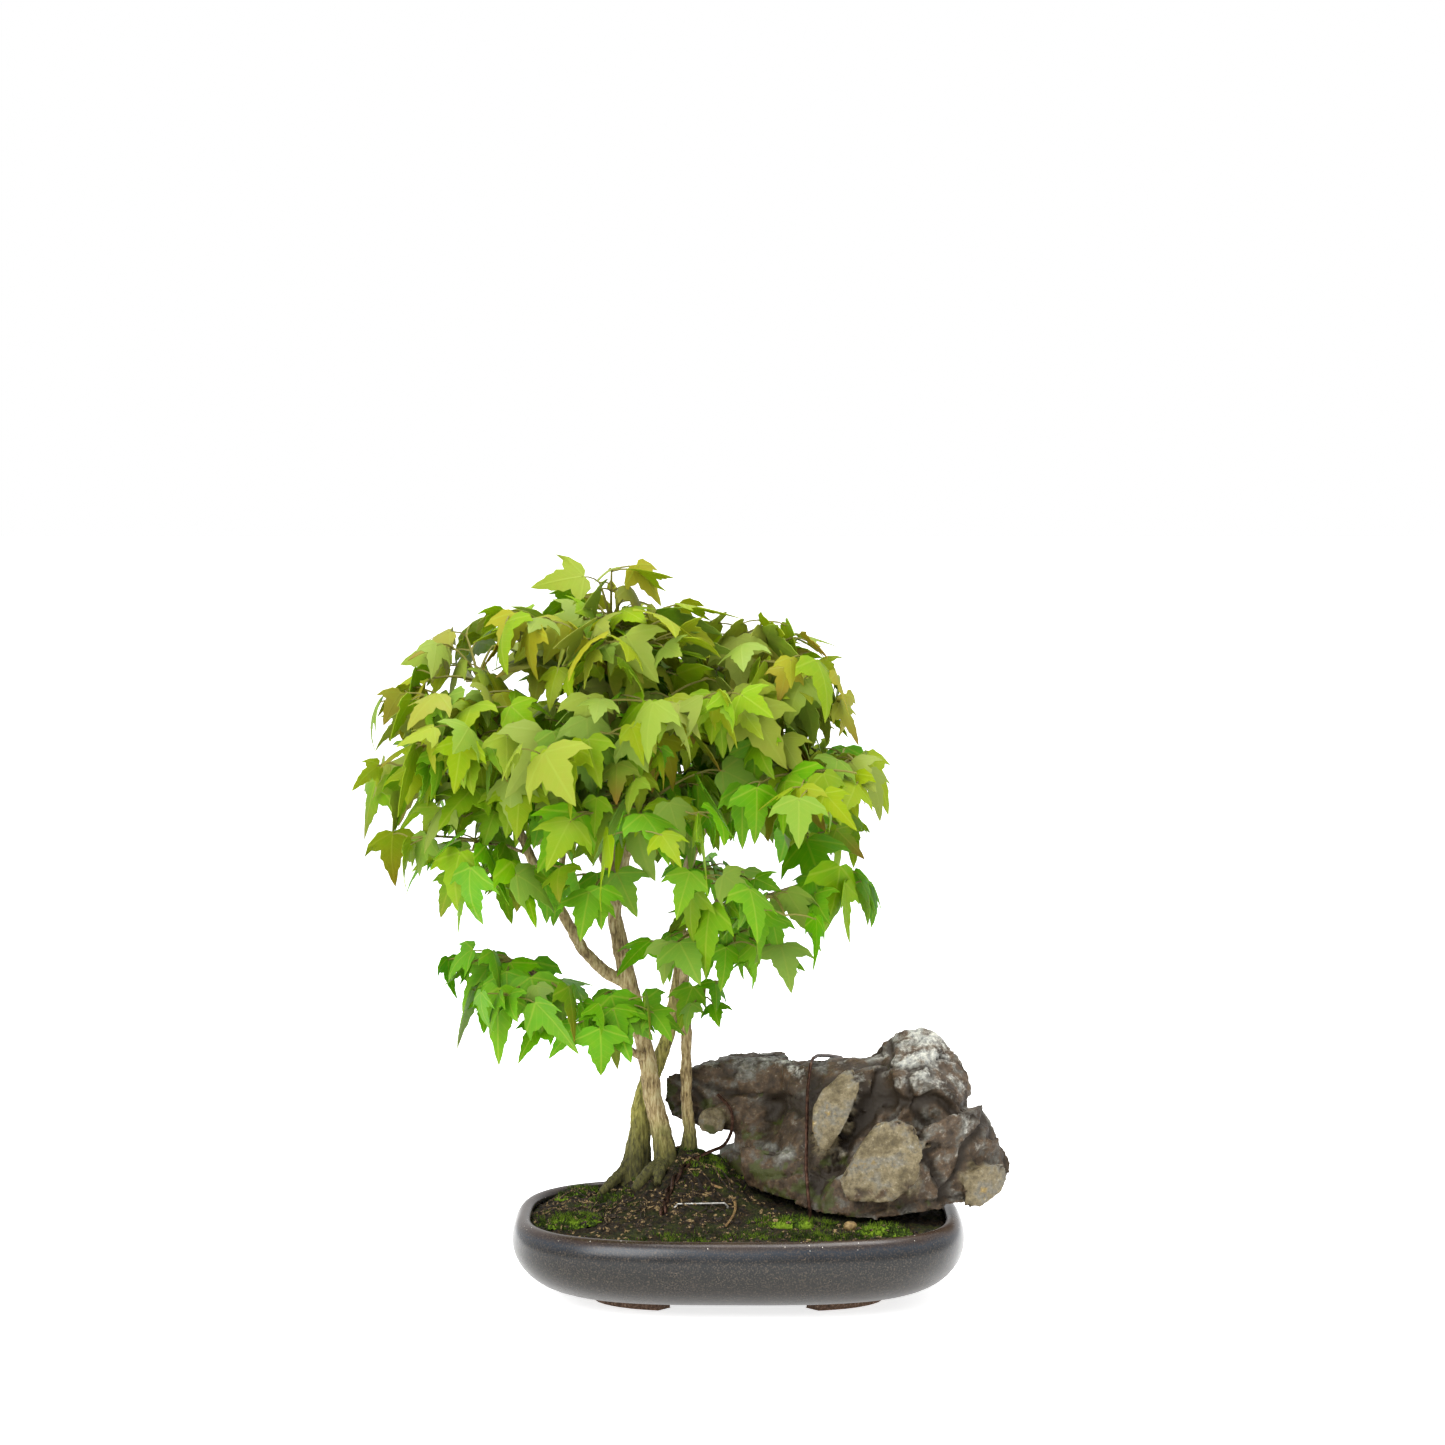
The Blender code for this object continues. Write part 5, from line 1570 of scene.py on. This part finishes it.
def hang_leaf(bm, tone_layer, node, outward, crown):
    """Hangs one leaf on its stalk from a place on a shoot, where there is room for it."""
    for _ in range(16):
        stalk = chance.uniform(8, 22) * MM
        swing = Matrix.Rotation(chance.uniform(-0.8, 0.8), 3, "Z") @ outward
        rise = chance.uniform(-0.25, 0.45)
        end = node + (swing + Vector((0, 0, rise))).normalized() * stalk
        aside = Matrix.Rotation(chance.uniform(-0.7, 0.7), 3, "Z") @ swing
        level = Vector((aside.x, aside.y, 0.0)).normalized()
        steep = chance.uniform(-5, 70) if crown else chance.uniform(20, 88)
        matrix = leaf_frame(end, level, math.radians(steep), chance.uniform(-1.0, 1.0))
        size = chance.triangular(20, 54, 33) * MM
        found = has_room(matrix, size)
        if found:
            break
    else:
        return False
    taken.append((found[0], found[1], size))
    pattern = chance.choice(patterns) if chance.random() > 0.05 else curled
    blade = blade_of(pattern, size, matrix)
    before = len(bm.faces)
    sheet = bpy.data.meshes.new("blade")
    blade.to_mesh(sheet)
    blade.free()
    bm.from_mesh(sheet)
    bpy.data.meshes.remove(sheet)
    bm.faces.ensure_lookup_table()
    outer = in_crown(end)
    youth = (end.z / MM - 260) / 300 + 0.35 * (outer - 0.75) + chance.uniform(-0.3, 0.3)
    youth = max(0.0, min(1.0, youth))
    high_up = max(0.0, min(1.0, (end.z / MM - 240) / 160))
    rusty = chance.random() < 0.05 + 0.16 * high_up * outer
    rust = chance.uniform(0.3, 0.8) if rusty else chance.uniform(0.0, 0.16)
    # Some leaves, more of them high on the crown, get a painted sheen.
    has_painted_sheen = chance.random() < 0.08 + 0.34 * high_up
    painted_sheen_share = chance.uniform(0.3, 0.75) if has_painted_sheen else chance.uniform(0.0, 0.15)
    for face in bm.faces[before:]:
        for loop in face.loops:
            loop[tone_layer] = (youth, rust, painted_sheen_share, 1.0)
    bend = node.lerp(end, 0.5) + Vector((0, 0, 2.5 * MM))
    inside_blade = end + matrix.to_3x3() @ Vector((0, 2 * MM, -0.2 * MM))
    radii = [radius * MM for radius in STALK_RADII]
    tube_into(bm, arc(node, bend, inside_blade, 3), radii, 4, 1)
    return True


def grow_stem(bm, tone_layer, start, tip, pairs, crown):
    """A thin shoot with leaves in crossed pairs and a pair at its end."""
    span = tip - start
    course = arc(start, start.lerp(tip, 0.5) + Vector((0, 0, ARCH * MM)), tip, 5)
    thick = [(1.15 - 0.45 * k / 5) * MM for k in range(6)]
    tube_into(bm, course, thick, 6, 1)
    flat_span = Vector((span.x, span.y, 0.0))
    leans = flat_span.length > 0.3 * span.length
    ahead = flat_span.normalized() if leans else Vector((0.6, -0.8, 0.0))
    side = ahead.cross(Vector((0, 0, 1)))
    for pair in range(pairs + 1):
        share = 0.2 + 0.8 * pair / pairs
        lifted = Vector((0, 0, ARCH * MM * 2 * share * (1 - share)))
        place_on_stem = course[0].lerp(course[-1], share) + lifted
        crossed = 0.9 if pair % 2 else 0.35
        for sign in (1, -1):
            outward = (side * sign * (1.0 if pair % 2 == 0 else 0.7) + ahead * crossed).normalized()
            hang_leaf(bm, tone_layer, place_on_stem, outward, crown)
    if chance.random() < 0.6:
        hang_leaf(bm, tone_layer, tip, ahead, crown)


def new_foliage():
    """An empty bmesh that keeps each leaf's own map and tone."""
    bm = bmesh.new()
    bm.loops.layers.uv.new("blade")
    return bm, bm.loops.layers.float_color.new("leaf_tone")


for name, (start, tip) in SHOOTS.items():
    bm, tone_layer = new_foliage()
    start, tip = spot(*start), spot(*tip)
    crown = tip.z > 0.425
    thin = name in SPARSE
    grow_stem(bm, tone_layer, start, tip, 1 if thin else 2, crown)
    span = tip - start
    for turn in (-1,) if thin else (-1, 1):
        swing = Matrix.Rotation(turn * chance.uniform(0.8, 1.2), 3, "Z")
        fork = swing @ span * chance.uniform(0.6, 0.95)
        fork.z += chance.uniform(-10, 12) * MM
        grow_stem(bm, tone_layer, start.lerp(tip, 0.1), start + fork, 1, crown)
    shoot = object_of(bm, f"{name}_leaves")
    finish(shoot, f"{name}_leaves", "leaf", f"shoot_{name}", materials=LEAF_FINISHES, smooth=80)

# Short spurs on the older wood fill the crown from within and over its top: how many
# are tried on each trunk, and the height in millimetres above which they grow.
for node, name, count, lowest in (
    ("trunk_front", "front_spurs", 170, 315),
    ("trunk_rear", "rear_spurs", 110, 320),
    ("trunk_slim", "slim_spurs", 4, 235),
):
    bm, tone_layer = new_foliage()
    wood = [vert.co.copy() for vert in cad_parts[node].data.vertices if vert.co.z > lowest * MM]
    for _ in range(count):
        start = chance.choice(wood)
        turn = chance.uniform(0, 2 * math.pi)
        away = Vector((math.cos(turn), math.sin(turn), chance.uniform(-0.15, 0.7))).normalized()
        tip = start + away * chance.uniform(14, 40) * MM
        if in_crown(tip) > 0.92:
            continue
        grow_stem(bm, tone_layer, start, tip, 1, tip.z > 0.425)
    spurs = object_of(bm, name)
    finish(spurs, name, "leaf", materials=LEAF_FINISHES, smooth=80)
for pattern in [*patterns, curled]:
    bpy.data.meshes.remove(pattern)


# ------------------------------------------------------------------ wires and staple
# Brown anodised aluminium training wire ties the stone and the root mound down, and
# a staple of bare wire pins the mound. They are bent by hand and twisted with pliers.
anodised, tree, shader, place = new_material("brown_anodised_aluminium")
wear = put(tree, "ShaderNodeTexNoise", {"Scale": 1 / (3 * MM), "Detail": 4.0}, {"Vector": place})
browns = put(
    tree,
    "ShaderNodeValToRGB",
    {"ramp": [(0.35, "#2a1a13"), (0.6, "#4c3428"), (0.8, "#7c6656")]},
    {"Fac": wear.outputs["Fac"]},
)
tree.links.new(browns.outputs["Color"], shader.inputs["Base Color"])
shader.inputs["Metallic"].default_value = 0.85
shader.inputs["Roughness"].default_value = 0.42
for node in ("stone_wire", "tie_wire", "tie_wire_tail"):
    dress(node, anodised)
dress("staple", drawn_wire)

root_skin, tree, shader, place = new_material("dry_root_skin")
fibre = put(tree, "ShaderNodeTexNoise", {"Scale": 1 / (2 * MM), "Detail": 4.0}, {"Vector": place})
tans = put(
    tree,
    "ShaderNodeValToRGB",
    {"ramp": [(0.35, "#5d4526"), (0.6, "#8f7042"), (0.8, "#b59a6a")]},
    {"Fac": fibre.outputs["Fac"]},
)
tree.links.new(tans.outputs["Color"], shader.inputs["Base Color"])
shader.inputs["Roughness"].default_value = 0.8
dress("surface_root", root_skin)

# ------------------------------------------------------------------ scene bounds
low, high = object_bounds()
